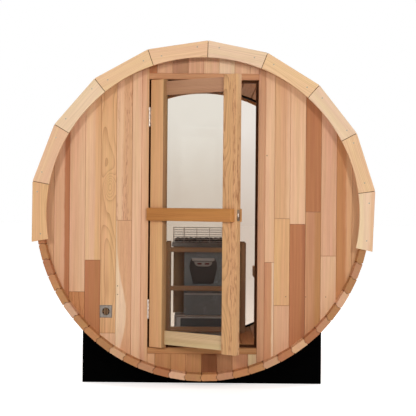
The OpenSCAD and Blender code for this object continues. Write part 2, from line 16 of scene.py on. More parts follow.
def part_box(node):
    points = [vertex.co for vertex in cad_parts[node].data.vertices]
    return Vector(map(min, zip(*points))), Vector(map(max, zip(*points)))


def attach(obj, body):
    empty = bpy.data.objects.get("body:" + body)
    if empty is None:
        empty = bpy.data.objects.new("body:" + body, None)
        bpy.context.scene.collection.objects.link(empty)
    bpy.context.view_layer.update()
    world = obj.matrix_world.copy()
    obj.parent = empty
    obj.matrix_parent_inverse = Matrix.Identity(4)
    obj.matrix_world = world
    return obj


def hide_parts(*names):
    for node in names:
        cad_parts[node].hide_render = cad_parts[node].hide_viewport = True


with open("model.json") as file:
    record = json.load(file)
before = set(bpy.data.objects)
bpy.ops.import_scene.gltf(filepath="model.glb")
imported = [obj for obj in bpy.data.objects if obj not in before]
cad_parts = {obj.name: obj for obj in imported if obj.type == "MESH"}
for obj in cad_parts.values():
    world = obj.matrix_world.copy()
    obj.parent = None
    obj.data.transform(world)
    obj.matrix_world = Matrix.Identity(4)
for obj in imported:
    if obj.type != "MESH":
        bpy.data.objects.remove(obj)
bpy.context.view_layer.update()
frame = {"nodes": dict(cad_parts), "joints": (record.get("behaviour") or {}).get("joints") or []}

log = logging.getLogger("sauna")
MM = 0.001
X, Y, Z = Vector((1, 0, 0)), Vector((0, 1, 0)), Vector((0, 0, 1))
FAR = Vector((9.0, 9.0, 9.0))
# Edges sharper than these are broken on boards and on CAD nodes; flatter ones than the last are shaded smooth
BOARD_EDGE, NODE_EDGE, SMOOTH_EDGE = (math.radians(angle) for angle in (25, 35, 32))
# Corners of a CAD node that lie closer than this, in metres, are one corner
WELD = 0.00002
Triple = tuple[float, float, float]
Outline = Sequence[tuple[float, float]]
Surface = dict[str, object]


def linear(code: str) -> Triple:
    """Turns an sRGB hex colour into linear values.

    Args:
        code: The colour as #RRGGBB.

    Returns:
        The three linear values.
    """
    parts = [int(code[i : i + 2], 16) / 255 for i in (1, 3, 5)]
    return tuple(c / 12.92 if c <= 0.04045 else ((c + 0.055) / 1.055) ** 2.4 for c in parts)


def paint(code: str, light: float = 1.0) -> tuple[float, ...]:
    """Turns an sRGB hex colour, made lighter or darker, into a linear colour with alpha."""
    return (*(min(1.0, c * light) for c in linear(code)), 1.0)


def per_metre(*sizes_mm: float) -> tuple[float, ...]:
    """Tells how many patches of each size fit into a metre."""
    return tuple(1 / (size * MM) for size in sizes_mm)


def corners(node: str) -> tuple[Vector, Vector]:
    """Gives a CAD node's lowest and highest corners in millimetres."""
    low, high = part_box(node)
    return Vector(low) / MM, Vector(high) / MM


class Tone(Enum):
    """Cedar as it comes off the stack, from pale sapwood to dark heartwood, and a near-black brown for
    painted shade.
    """

    STRAW = "#E9D0A8"
    PALE = "#EDD0B1"
    PEACH = "#E6BD9B"
    APRICOT = "#E7BF9D"
    HONEY = "#DFB286"
    AMBER = "#DDAE80"
    ROSE = "#DFB190"
    BLUSH = "#E0B192"
    TAN = "#DBAD87"
    CARAMEL = "#C68D60"
    RUSSET = "#B97D57"
    UMBER = "#AC7050"
    GOLD = "#BB8047"
    CLAY = "#D0A07F"
    DRIFT = "#CB9672"
    ASH = "#BB8E71"
    WHEAT = "#D5BC94"
    DUSK = "#AC855F"
    SAND = "#ECC79E"
    NUT = "#BD8A5E"
    HAZEL = "#A77856"
    BARK = "#8A5838"
    SMOKE = "#96795D"
    # Near-black brown, painted shade in the trim's joints, on the door stops and on the vent's damper
    PAINTED_SHADE = "#4A2B16"


class Tree:
    """Node tree of one material or of the world."""

    def __init__(self, owner: bpy.types.Material | bpy.types.World) -> None:
        """Empties the owner's tree.

        Args:
            owner: The material or the world.
        """
        owner.use_nodes = True
        self.owner = owner
        self.nodes = owner.node_tree.nodes
        self.nodes.clear()

    def add(
        self, kind: str, links: dict | None = None, out: int | str = 0, **settings: object
    ) -> bpy.types.NodeSocket | None:
        """Adds a node with its settings and its inputs.

        Args:
            kind: The node's type, without the common prefix.
            links: Values or output sockets by input name or number.
            out: Which output to give back.
            settings: Properties of the node.

        Returns:
            The output socket, or None for a node that has none.
        """
        node = self.nodes.new("ShaderNode" + kind)
        for key, value in settings.items():
            setattr(node, key, value)
        for key, value in (links or {}).items():
            if isinstance(value, bpy.types.NodeSocket):
                self.owner.node_tree.links.new(value, node.inputs[key])
            else:
                node.inputs[key].default_value = value
        return node.outputs[out] if node.outputs else None


# Settings that many nodes share: a Mix of two colours, one that multiplies them, and a cloudy Noise
BLEND = {"out": 2, "data_type": "RGBA"}
TINT = {**BLEND, "blend_type": "MULTIPLY"}
CLOUDY = {"Scale": 1.0, "Detail": 2.0, "Roughness": 0.55}
# How far a worn surface's roughness swings from patch to patch
ROUGH_SWING = 0.2


@dataclass(frozen=True)
class Cedar:
    """Planed cedar: growth rings, broad streaks and fine fibres that follow each board's own grain."""

    name: str
    streak: float = 0.5
    fibre: float = 0.14
    fleck: float = 1.6
    depth: float = 0.75
    end_shade: Triple = (0.66, 0.57, 0.50)
    end_pale: float = 1.32
    early: Triple = (1.10, 1.09, 1.06)
    late: Triple = (0.62, 0.50, 0.42)
    yellow: Triple = (1.0, 1.035, 0.96)
    pink: Triple = (1.0, 0.955, 0.99)
    pith_wander: Triple = (0.05, 0.0, 0.09)
    knot_rate: Triple = (30.0, 13.0, 0.0)
    knot_lift: float = 0.045
    ring_edge: float = 3.5
    roughness: float = 0.6
    shine: float = 0.15

    # Patch sizes across, along and through a board in millimetres, with layers of detail. Cedar's fibres are
    # finer than 2.6 mm and are drawn at that, so that they show
    PATTERNS: ClassVar[dict[str, tuple[Triple, float]]] = {
        "streak": ((11.0, 520.0, 24.0), 3.0),
        "fibre": ((2.6, 110.0, 2.6), 2.0),
        "band": ((42.0, 900.0, 60.0), 2.0),
        "dash": ((5.0, 55.0, 12.0), 2.0),
        "mottle": ((16.0, 16.0, 16.0), 3.0),
        "ragged": ((60.0, 120.0, 60.0), 2.0),
        "wander": ((130.0, 520.0, 130.0), 1.0),
    }
    # One over e, for what fades with the square of a distance
    FADE: ClassVar[float] = 0.37

    def surface(self, t: Tree) -> Surface:
        """Draws the wood from each board's own tone and grain, which the mesh carries.

        Args:
            t: The material's tree.

        Returns:
            The shader's inputs.
        """
        grain = t.add("Attribute", out="Vector", attribute_name="grain")
        figure = t.add("Attribute", out="Vector", attribute_name="figure")
        butt = t.add("Attribute", out="Fac", attribute_name="butt")
        noise = {}
        for key, (sizes, detail) in self.PATTERNS.items():
            spot = t.add("VectorMath", {0: grain, 1: per_metre(*sizes)}, operation="MULTIPLY")
            noise[key] = t.add("TexNoise", {"Vector": spot, **CLOUDY, "Detail": detail})
        late = self.rings(t, grain, figure, noise["wander"])
        streak = t.add("MapRange", {0: noise["streak"], 1: 0.27, 2: 0.73, 3: 0.0, 4: self.streak})
        fibre = t.add("MapRange", {0: noise["fibre"], 1: 0.35, 2: 0.7, 3: 0.0, 4: self.fibre})
        # Short dark flecks in bands, where a board's fibres run out of its face
        band = t.add("MapRange", {0: noise["band"], 1: 0.46, 2: 0.56, 3: 0.0, 4: self.fleck})
        dash = t.add("MapRange", {0: noise["dash"], 1: 0.54, 2: 0.62})
        chance = t.add("Math", {0: dash, 1: band}, operation="MULTIPLY")
        flecked = t.add("SeparateXYZ", {0: figure}, out="Z")
        lines = t.add("Math", {0: late, 1: streak}, operation="ADD")
        specks = t.add("Math", {0: chance, 1: flecked, 2: fibre}, operation="MULTIPLY_ADD")
        both = t.add("Math", {0: lines, 1: specks}, operation="ADD")
        dark = t.add("Math", {0: both, 1: self.depth}, operation="MULTIPLY", use_clamp=True)
        # Broad bands lean to yellow or to pink
        lean = t.add("MapRange", {0: noise["band"], 1: 0.3, 2: 0.7})
        tint = t.add("Mix", {0: lean, 6: (*self.yellow, 1.0), 7: (*self.pink, 1.0)}, **BLEND)
        plain = t.add("Mix", {0: 1.0, 6: self.body(t, noise["ragged"]), 7: tint}, **TINT)
        sawn_pale = tuple(self.end_pale * c for c in self.end_shade)
        early, heavy, sawn_low, sawn_high = (
            t.add("Mix", {0: 1.0, 6: plain, 7: (*by, 1.0)}, **TINT)
            for by in (self.early, self.late, self.end_shade, sawn_pale)
        )
        side = t.add("Mix", {0: dark, 6: early, 7: heavy}, **BLEND)
        # Sawn ends drink the light: redder and darker, with the rings as arcs
        mottle = t.add("Math", {0: noise["mottle"], 1: late}, operation="ADD", use_clamp=True)
        sawn = t.add("Mix", {0: mottle, 6: sawn_high, 7: sawn_low}, **BLEND)
        return {
            "Base Color": t.add("Mix", {0: butt, 6: side, 7: sawn}, **BLEND),
            "Roughness": t.add("Math", {0: dark, 1: 0.12, 2: self.roughness}, operation="MULTIPLY_ADD"),
            "Normal": t.add("Bump", {"Height": dark, "Strength": 0.25, "Distance": 0.0006}, invert=True),
            "Specular IOR Level": self.shine,
        }

    def body(self, t: Tree, ragged: bpy.types.NodeSocket) -> bpy.types.NodeSocket:
        """Draws the board's tone, and the other wood along its edge where it has some.

        Args:
            t: The material's tree.
            ragged: Pattern that roughens the border between the two.

        Returns:
            The colour before the grain is drawn on it.
        """
        tone = t.add("Attribute", out="Color", attribute_name="tone")
        other = t.add("Attribute", out="Color", attribute_name="sap_tone")
        bulge = t.add("Attribute", out="Alpha", attribute_name="sap_tone")
        sap = t.add("Attribute", out="Fac", attribute_name="sap")
        along = t.add("SeparateXYZ", {0: t.add("Attribute", out="Vector", attribute_name="knot")}, out="Z")
        squared = t.add("Math", {0: along, 1: along}, operation="MULTIPLY")
        swell = t.add("Math", {0: self.FADE, 1: squared}, operation="POWER")
        border = t.add("Math", {0: swell, 1: bulge, 2: sap}, operation="MULTIPLY_ADD")
        rough = t.add("MapRange", {0: ragged, 3: -0.8, 4: 0.8})
        edge = t.add("Math", {0: border, 1: rough}, operation="ADD")
        share = t.add("MapRange", {0: edge, 1: -1.0, 2: 1.0}, interpolation_type="SMOOTHSTEP")
        return t.add("Mix", {0: share, 6: tone, 7: other}, **BLEND)

    def rings(
        self, t: Tree, grain: bpy.types.NodeSocket, figure: bpy.types.NodeSocket, wander: bpy.types.NodeSocket
    ) -> bpy.types.NodeSocket:
        """Draws the log's rings, which show as lines, arches or arcs by how the board was cut from it.

        Args:
            t: The material's tree.
            grain: Place in the log, its pith along the second axis.
            figure: Rings a metre and their depth.
            wander: How the pith wanders along the log.

        Returns:
            How dark the late wood is there.
        """
        # Cedar's rings are about 2 mm apart and are drawn wider, so that they show
        knot = t.add("Attribute", out="Vector", attribute_name="knot")
        often = t.add("SeparateXYZ", {0: figure}, out="X")
        depth = t.add("SeparateXYZ", {0: figure}, out="Y")
        strength = t.add("VectorMath", {0: self.pith_wander, "Scale": depth}, operation="SCALE")
        shift = t.add("VectorMath", {0: wander, 1: strength, 2: grain}, operation="MULTIPLY_ADD")
        flat = t.add("VectorMath", {0: shift, 1: (1.0, 0.0, 1.0)}, operation="MULTIPLY")
        radius = t.add("VectorMath", {0: flat}, out="Value", operation="LENGTH")
        # A knot lifts the rings into nested ovals some 50 mm wide
        oval = t.add("VectorMath", {0: knot, 1: self.knot_rate}, operation="MULTIPLY")
        far = t.add("VectorMath", {0: oval, 1: oval}, out="Value", operation="DOT_PRODUCT")
        swell = t.add("Math", {0: self.FADE, 1: far}, operation="POWER")
        lifted = t.add("Math", {0: swell, 1: self.knot_lift, 2: radius}, operation="MULTIPLY_ADD")
        count = t.add("Math", {0: lifted, 1: often}, operation="MULTIPLY")
        part = t.add("Math", {0: count}, operation="FRACT")
        late = t.add("Math", {0: part, 1: self.ring_edge}, operation="POWER")
        return t.add("Math", {0: late, 1: depth}, operation="MULTIPLY")


@dataclass(frozen=True)
class Metal:
    """Sheet or wire metal: a faint brushed or drawn grain, with smears of a duller or a brighter shine."""

    name: str
    colour: str
    roughness: float
    grain_mm: Triple = (60.0, 60.0, 0.8)
    spread: float = 0.16
    smear_mm: float = 45.0

    def surface(self, t: Tree) -> Surface:
        """Draws lines of brushing over smears.

        Args:
            t: The material's tree.

        Returns:
            The shader's inputs.
        """
        place = t.add("TexCoord", out="Object")
        spot = t.add("VectorMath", {0: place, 1: per_metre(*self.grain_mm)}, operation="MULTIPLY")
        line = t.add("TexNoise", {"Vector": spot, **CLOUDY})
        span = per_metre(self.smear_mm)[0]
        smear = t.add("TexNoise", {"Vector": place, **CLOUDY, "Scale": span, "Detail": 3.0})
        share = t.add("MapRange", {0: line, 1: 0.3, 2: 0.7})
        dull, bright = paint(self.colour, 1 - self.spread), paint(self.colour, 1 + self.spread)
        worn = {0: smear, 1: ROUGH_SWING, 2: self.roughness - ROUGH_SWING / 2}
        return {
            "Base Color": t.add("Mix", {0: share, 6: dull, 7: bright}, **BLEND),
            "Roughness": t.add("Math", worn, operation="MULTIPLY_ADD"),
            "Metallic": 1.0,
            "Normal": t.add("Bump", {"Height": line, "Strength": 0.08, "Distance": 0.0003}),
        }


@dataclass(frozen=True)
class Coat:
    """Paint, stain, rubber or plastic: a base colour with speckle, fine texture and duller patches."""

    name: str
    colour: str
    speckle: str
    amount: float
    roughness: float
    texture_mm: float = 2.5
    bump: float = 0.2
    shine: float = 0.5
    patch_mm: float = 70.0

    def surface(self, t: Tree) -> Surface:
        """Draws specks of a second colour, thicker in some patches, in a fine orange peel.

        Args:
            t: The material's tree.

        Returns:
            The shader's inputs.
        """
        place = t.add("TexCoord", out="Object")
        grit, cloud = (
            t.add("TexNoise", {"Vector": place, **CLOUDY, "Scale": span, "Detail": 3.0})
            for span in per_metre(self.texture_mm, self.patch_mm)
        )
        fine = t.add("MapRange", {0: grit, 1: 0.5, 2: 0.66, 3: 0.0, 4: self.amount})
        patch = t.add("MapRange", {0: cloud, 1: 0.3, 2: 0.7, 3: 0.35, 4: 1.0})
        spots = t.add("Math", {0: fine, 1: patch}, operation="MULTIPLY")
        worn = {0: cloud, 1: ROUGH_SWING, 2: self.roughness - ROUGH_SWING / 2}
        return {
            "Base Color": t.add("Mix", {0: spots, 6: paint(self.colour), 7: paint(self.speckle)}, **BLEND),
            "Roughness": t.add("Math", worn, operation="MULTIPLY_ADD"),
            "Normal": t.add("Bump", {"Height": grit, "Strength": self.bump, "Distance": 0.0006}),
            "Specular IOR Level": self.shine,
        }


@dataclass(frozen=True)
class Glass:
    """Toughened float glass: clear at its top, and darker and warmer towards its foot, as painted shade of
    the surroundings seen through it.
    """

    name: str
    tint: str
    shade_tint: str
    ior: float
    shade_from: float = 1.9
    shade_to: float = 1.0
    cloud_mm: Triple = (420.0, 420.0, 520.0)
    drift: float = 0.5

    def surface(self, t: Tree) -> Surface:
        """Draws a smooth pane whose tint deepens downwards in soft clouds, as painted shade.

        Args:
            t: The material's tree.

        Returns:
            The shader's inputs.
        """
        place = t.add("TexCoord", out="Object")
        spot = t.add("VectorMath", {0: place, 1: per_metre(*self.cloud_mm)}, operation="MULTIPLY")
        cloud = t.add("TexNoise", {"Vector": spot, **CLOUDY})
        height = t.add("SeparateXYZ", {0: place}, out="Z")
        level = t.add("Math", {0: cloud, 1: self.drift, 2: height}, operation="MULTIPLY_ADD")
        middle = self.drift / 2
        share = t.add("MapRange", {0: level, 1: self.shade_from + middle, 2: self.shade_to + middle})
        return {
            "Base Color": t.add("Mix", {0: share, 6: paint(self.tint), 7: paint(self.shade_tint)}, **BLEND),
            "Roughness": t.add("MapRange", {0: cloud, 1: 0.45, 2: 0.8, 3: 0.0, 4: 0.02}),
            "Transmission Weight": 1.0,
            "IOR": self.ior,
        }


@dataclass(frozen=True)
class Stone:
    """Dark split rock: coarse crystals, paler dust on the faces and rough breaks."""

    name: str
    dark: str = "#353331"
    light: str = "#4C4946"
    dust: str = "#625D57"
    crystal_mm: float = 5.0
    dust_mm: float = 34.0

    def surface(self, t: Tree) -> Surface:
        """Draws crystals, and dust in clouds over them.

        Args:
            t: The material's tree.

        Returns:
            The shader's inputs.
        """
        place = t.add("TexCoord", out="Object")
        spans = per_metre(self.crystal_mm, self.dust_mm)
        crystal, cloud = (
            t.add("TexNoise", {"Vector": place, **CLOUDY, "Scale": span, "Detail": detail})
            for span, detail in zip(spans, (4.0, 3.0))
        )
        share = t.add("MapRange", {0: crystal, 1: 0.35, 2: 0.65})
        rock = t.add("Mix", {0: share, 6: paint(self.dark), 7: paint(self.light)}, **BLEND)
        dusty = t.add("MapRange", {0: cloud, 1: 0.5, 2: 0.7, 3: 0.0, 4: 0.5})
        return {
            "Base Color": t.add("Mix", {0: dusty, 6: rock, 7: paint(self.dust)}, **BLEND),
            "Roughness": t.add("MapRange", {0: cloud, 1: 0.3, 2: 0.7, 3: 0.75, 4: 0.95}),
            "Normal": t.add("Bump", {"Height": crystal, "Strength": 0.6, "Distance": 0.002}),
        }


def shown(t: Tree) -> bpy.types.NodeSocket:
    """Tells rays that show the background, straight or by glass and metal, from those that only light.

    Args:
        t: The tree that asks.

    Returns:
        1 for such a ray and 0 for another.
    """
    kinds = ("Is Camera Ray", "Is Glossy Ray", "Is Transmission Ray")
    camera, glossy, through = (t.add("LightPath", out=kind) for kind in kinds)
    either = t.add("Math", {0: camera, 1: glossy}, operation="MAXIMUM")
    return t.add("Math", {0: either, 1: through}, operation="MAXIMUM")


@dataclass(frozen=True)
class FloorPaint:
    """Pale matt paint, which shows white and keeps a faint shadow."""

    name: str
    tones: tuple[str, str]
    roughness: float
    cloud_mm: float = 900.0
    glow: float = 0.64

    def surface(self, t: Tree) -> Surface:
        """Draws faint clouds in the paint and lifts it to white.

        Args:
            t: The material's tree.

        Returns:
            The shader's inputs.
        """
        place = t.add("TexCoord", out="Object")
        cloud = t.add("TexNoise", {"Vector": place, **CLOUDY, "Scale": per_metre(self.cloud_mm)[0]})
        one, two = (paint(tone) for tone in self.tones)
        return {
            "Base Color": t.add("Mix", {0: cloud, 6: one, 7: two}, **BLEND),
            "Roughness": self.roughness,
            "Emission Color": (1, 1, 1, 1),
            "Emission Strength": t.add("Math", {0: shown(t), 1: self.glow}, operation="MULTIPLY"),
        }


Spec = Cedar | Metal | Coat | Glass | Stone | FloorPaint


@functools.cache
def made(finish: Spec) -> bpy.types.Material:
    """Makes a finish's material, once.

    Args:
        finish: The finish.

    Returns:
        The material.
    """
    t = Tree(bpy.data.materials.new(finish.name))
    t.add("OutputMaterial", {0: t.add("BsdfPrincipled", finish.surface(t))})
    return t.owner


# Planed cedar shows its rings and streaks in a dull, dry surface; oil gives the door's wood a little shine
STAVE = Cedar("planed cedar, stave", end_shade=(0.80, 0.77, 0.76))
WALL = Cedar("planed cedar, wall board")
TRIM = Cedar("planed cedar, pale arch board", streak=0.42, roughness=0.5)
# The door's sawn ends stay nearly as light as its faces: painted light where the lamps strike them
OILED = Cedar("oiled cedar, door", end_shade=(1.0, 0.98, 0.92), roughness=0.5, shine=0.25)
INNER = Cedar("planed cedar, inside timber", roughness=0.7, shine=0.1)
# Ground and brushed metal mirrors softly and stretches the light along its lines
SATIN = Metal("satin stainless steel, cast and ground", "#C2B5AA", 0.42, (8.0, 8.0, 30.0), 0.06)
VENT = Metal("brushed stainless vent plate", "#746B63", 0.40, (0.9, 60.0, 60.0), 0.35)
SHEET = Metal("brushed stainless sheet", "#B6B5B3", 0.34, (90.0, 90.0, 0.9))
DULL = Metal("dark steel sheet", "#7C7975", 0.5, (60.0, 60.0, 0.9), 0.3)
WIRE = Metal("drawn steel wire", "#CFCFCD", 0.5, (12.0, 12.0, 12.0))
BAND = Metal("rolled stainless band", "#B4B6B8", 0.36, (60.0, 0.9, 60.0))
SCREW = Metal("zinc screw", "#7E837B", 0.45, (3.0, 3.0, 3.0))
# Baked and brushed coats hide the metal or wood under a speckled, slightly uneven skin
NAIL = Coat("rust-browned nail head", "#2E221A", "#46352A", 0.5, 0.7, 2.0, 0.2, 0.2)
FRAME = Coat("silver-grey powder coat", "#A5A4A2", "#B8B7B4", 0.5, 0.4, 5.0, 0.08)
ENAMEL = Coat("speckled grey stove enamel", "#62696C", "#A5B1B6", 0.75, 0.42, 7.0, 0.12)
SHIELD = Coat("matt brown-black stove paint", "#312B28", "#3B3633", 0.5, 0.5, 5.0, 0.1)
PLATE = Coat("matt black plate", "#3C3E3F", "#555858", 0.4, 0.5, 4.0, 0.1)
CRADLE = Coat("black stained support block", "#010101", "#030303", 0.6, 0.95, 3.0, 0.3, 0.02)
# Moulded plastic and rubber are even and faintly grained
HOUSING = Coat("grey moulded lamp housing", "#979490", "#A5A19C", 0.5, 0.4, 5.0, 0.08)
LENS = Coat("dark red lamp window", "#5A1F1B", "#7A2A22", 0.5, 0.2, 6.0, 0.02)
RUBBER = Coat("black rubber gasket", "#0E0D0C", "#181614", 0.5, 0.7, 2.0, 0.15, 0.2)
# Glass with an index below that of real glass, so that the thin panes hardly mirror the pale surroundings;
# each pane darkens and warms towards its foot as painted shade of what is seen through it
CLEAR = Glass("clear toughened glass", "#F8F9F5", "#F4F3EE", 1.12)
BRONZE = Glass("toughened rear glass, shaded towards its foot", "#EDE6DE", "#D0C0B2", 1.3)
# Split rock is dull, with dust on its faces and crystals in its breaks
ROCK = Stone("split dark olivine stone")
# Matt paint scatters the light evenly, so that the floor shows no lamp
FLOOR = FloorPaint("pale painted studio floor", ("#EFEFEE", "#F1F1F0"), 0.9)


@dataclass(frozen=True)
class Sap:
    """Other wood along a board's edge: where its border lies, how soft it is and where it bulges, in mm."""

    tone: Tone
    at: float
    side: int
    soft: float = 3.0
    bulge: float = 0.0
    bulge_z: float = 0.0
    bulge_long: float = 250.0


@dataclass(frozen=True)
class Wood:
    """How one board was sorted and what its face shows."""

    tone: Tone
    sap: Sap | None = None
    arched: float = 0.0
    fleck: float = 0.0
    knot: tuple[float, float] | None = None
    spread: float = 0.025

    # Rings a metre in a flat-sawn board, and rings a metre with their depth in a quarter-sawn one
    FLAT_RINGS: ClassVar[float] = 125.0
    QUARTER_RINGS: ClassVar[tuple[float, float]] = (140.0, 0.35)
    # How far a board's warmth swings beside its lightness, and how far green goes along with blue
    WARM: ClassVar[float] = 0.5
    GREEN: ClassVar[float] = 0.4

    @property
    def figure(self) -> Vector:
        """Rings a metre, their depth and the flecks, as the finish reads them."""
        rings = (self.FLAT_RINGS, self.arched) if self.arched else self.QUARTER_RINGS
        return Vector((*rings, self.fleck))

    def shade(self, tone: Tone, rng: random.Random) -> Triple:
        """Gives the board's own shade of a tone.

        Args:
            tone: The tone.
            rng: Where the variation comes from.

        Returns:
            The linear colour.
        """
        light = 1 + rng.uniform(-self.spread, self.spread)
        warm = 1 - rng.uniform(-self.spread, self.spread) * self.WARM
        red, green, blue = (c * light for c in linear(tone.value))
        return min(1.0, red), min(1.0, green * (1 - self.GREEN + self.GREEN * warm)), min(1.0, blue * warm)


@dataclass(frozen=True)
class Place:
    """A local frame in millimetres: u and v span an outline and w is the way it is drawn out."""

    at: Vector
    u: Vector
    v: Vector
    w: Vector

    def point(self, a: float, b: float, c: float) -> Vector:
        """Turns local millimetres into a place in metres."""
        return (self.at + self.u * a + self.v * b + self.w * c) * MM

    def local(self, p: Vector) -> Vector:
        """Turns a place in metres into local metres."""
        q = p - self.at * MM
        return Vector((q.dot(self.u), q.dot(self.v), q.dot(self.w)))


class Grain(Enum):
    """Which way of a Place the wood's fibres run, given as the order of its axes: across, along, through."""

    U = (1, 0, 2)
    V = (0, 1, 2)
    W = (0, 2, 1)


def solid(
    outline: Outline, place: Place, depth: float, ease: float = 0.0, rounds: int = 1
) -> bmesh.types.BMesh:
    """Draws an outline out into a closed solid and breaks its edges.

    Args:
        outline: Corners in the place's u and v, in millimetres.
        place: The local frame.
        depth: How far it is drawn out along w.
        ease: Width of the broken edges.
        rounds: Segments of a broken edge, 1 for a flat.

    Returns:
        The solid's mesh.
    """
    bm = bmesh.new()
    low = [bm.verts.new(place.point(a, b, 0)) for a, b in outline]
    high = [bm.verts.new(place.point(a, b, depth)) for a, b in outline]
    bm.faces.new(low)
    bm.faces.new(list(reversed(high)))
    for i in range(len(low)):
        j = (i + 1) % len(low)
        bm.faces.new((low[j], low[i], high[i], high[j]))
    bmesh.ops.recalc_face_normals(bm, faces=bm.faces)
    if ease > 0:
        sharp = [e for e in bm.edges if e.calc_face_angle(0.0) > BOARD_EDGE]
        bmesh.ops.bevel(
            bm, geom=sharp, offset=ease * MM, offset_type="OFFSET", segments=rounds, profile=0.5,
            affect="EDGES", clamp_overlap=True
        )
    return bm


def box_outline(a0: float, b0: float, a1: float, b1: float) -> list[tuple[float, float]]:
    """Gives the four corners of a rectangle."""
    return [(a0, b0), (a1, b0), (a1, b1), (a0, b1)]


def mirrored(side: Outline) -> list[tuple[float, float]]:
    """Completes an outline of which the right half is given, from the bottom up."""
    return [*side, *((-a, b) for a, b in reversed(side))]


def lathe(profile: Outline, place: Place, steps: int = 16) -> bmesh.types.BMesh:
    """Turns a profile round the place's w axis.

    Args:
        profile: Radius and height of each ring, in millimetres; a radius of 0 closes an end.
        place: The local frame, its origin on the axis.
        steps: Points round a ring.

    Returns:
        The turned mesh.
    """
    bm = bmesh.new()
    turns = [2 * math.pi * k / steps for k in range(steps)]
    rings = []
    for r, h in profile:
        spots = [(r * math.cos(a), r * math.sin(a)) for a in turns] if r > 0 else [(0.0, 0.0)]
        rings.append([bm.verts.new(place.point(a, b, h)) for a, b in spots])
    for one, two in zip(rings, rings[1:]):
        for k in range(steps):
            j = (k + 1) % steps
            if len(one) == 1:
                bm.faces.new((one[0], two[j], two[k]))
            elif len(two) == 1:
                bm.faces.new((one[k], one[j], two[0]))
            else:
                bm.faces.new((one[k], one[j], two[j], two[k]))
    bmesh.ops.recalc_face_normals(bm, faces=bm.faces)
    return bm


def screw_head(place: Place, radius: float = 4.2) -> bmesh.types.BMesh:
    """Makes a sunk screw head with a rounded rim and a recess for the driver.

    Args:
        place: Frame on the wood's face, with w pointing out of it.
        radius: Radius of the head.

    Returns:
        The head's mesh.
    """
    r = radius
    recess = [(0, -1.6), (r * 0.38, -1.5), (r * 0.44, 0.1)]
    return lathe([*recess, (r * 0.8, 0.35), (r, 0.05), (r, -2.0)], place, 12)


def tube(path: Sequence[Vector], radius: float, closed: bool = False, sides: int = 8) -> bmesh.types.BMesh:
    """Sweeps a round wire along a path.

    Args:
        path: Points in millimetres.
        radius: Radius of the wire.
        closed: Whether the path is a ring.
        sides: Points round the wire.

    Returns:
        The wire's mesh.
    """
    bm = bmesh.new()
    count = len(path)
    turns = [2 * math.pi * k / sides for k in range(sides)]
    rings = []
    normal = None
    for i, p in enumerate(path):
        before = path[i - 1] if i > 0 or closed else p
        after = path[(i + 1) % count] if i < count - 1 or closed else p
        way = (after - before).normalized()
        normal = way.orthogonal() if normal is None else normal
        normal = (normal - way * normal.dot(way)).normalized()
        side = way.cross(normal)
        ring = [p + (normal * math.cos(a) + side * math.sin(a)) * radius for a in turns]
        rings.append([bm.verts.new(q * MM) for q in ring])
    for one, two in list(zip(rings, rings[1:])) + ([(rings[-1], rings[0])] if closed else []):
        for k in range(sides):
            j = (k + 1) % sides
            bm.faces.new((one[k], one[j], two[j], two[k]))
    if not closed:
        bm.faces.new(list(reversed(rings[0])))
        bm.faces.new(rings[-1])
    bmesh.ops.recalc_face_normals(bm, faces=bm.faces)
    return bm


def rounded(
    a0: float, b0: float, a1: float, b1: float, radius: float, steps: int = 5
) -> list[tuple[float, float]]:
    """Gives the outline of a rectangle with round corners.

    Args:
        a0: Lowest first coordinate.
        b0: Lowest second coordinate.
        a1: Highest first coordinate.
        b1: Highest second coordinate.
        radius: Radius of the corners.
        steps: Stretches in one corner.

    Returns:
        The points, round the rectangle.
    """
    points = []
    for k, (a, b) in enumerate(box_outline(a0 + radius, b0 + radius, a1 - radius, b1 - radius)):
        for s in range(steps + 1):
            turn = math.pi / 2 * (k + 2 + s / steps)
            points.append((a + radius * math.cos(turn), b + radius * math.sin(turn)))
    return points


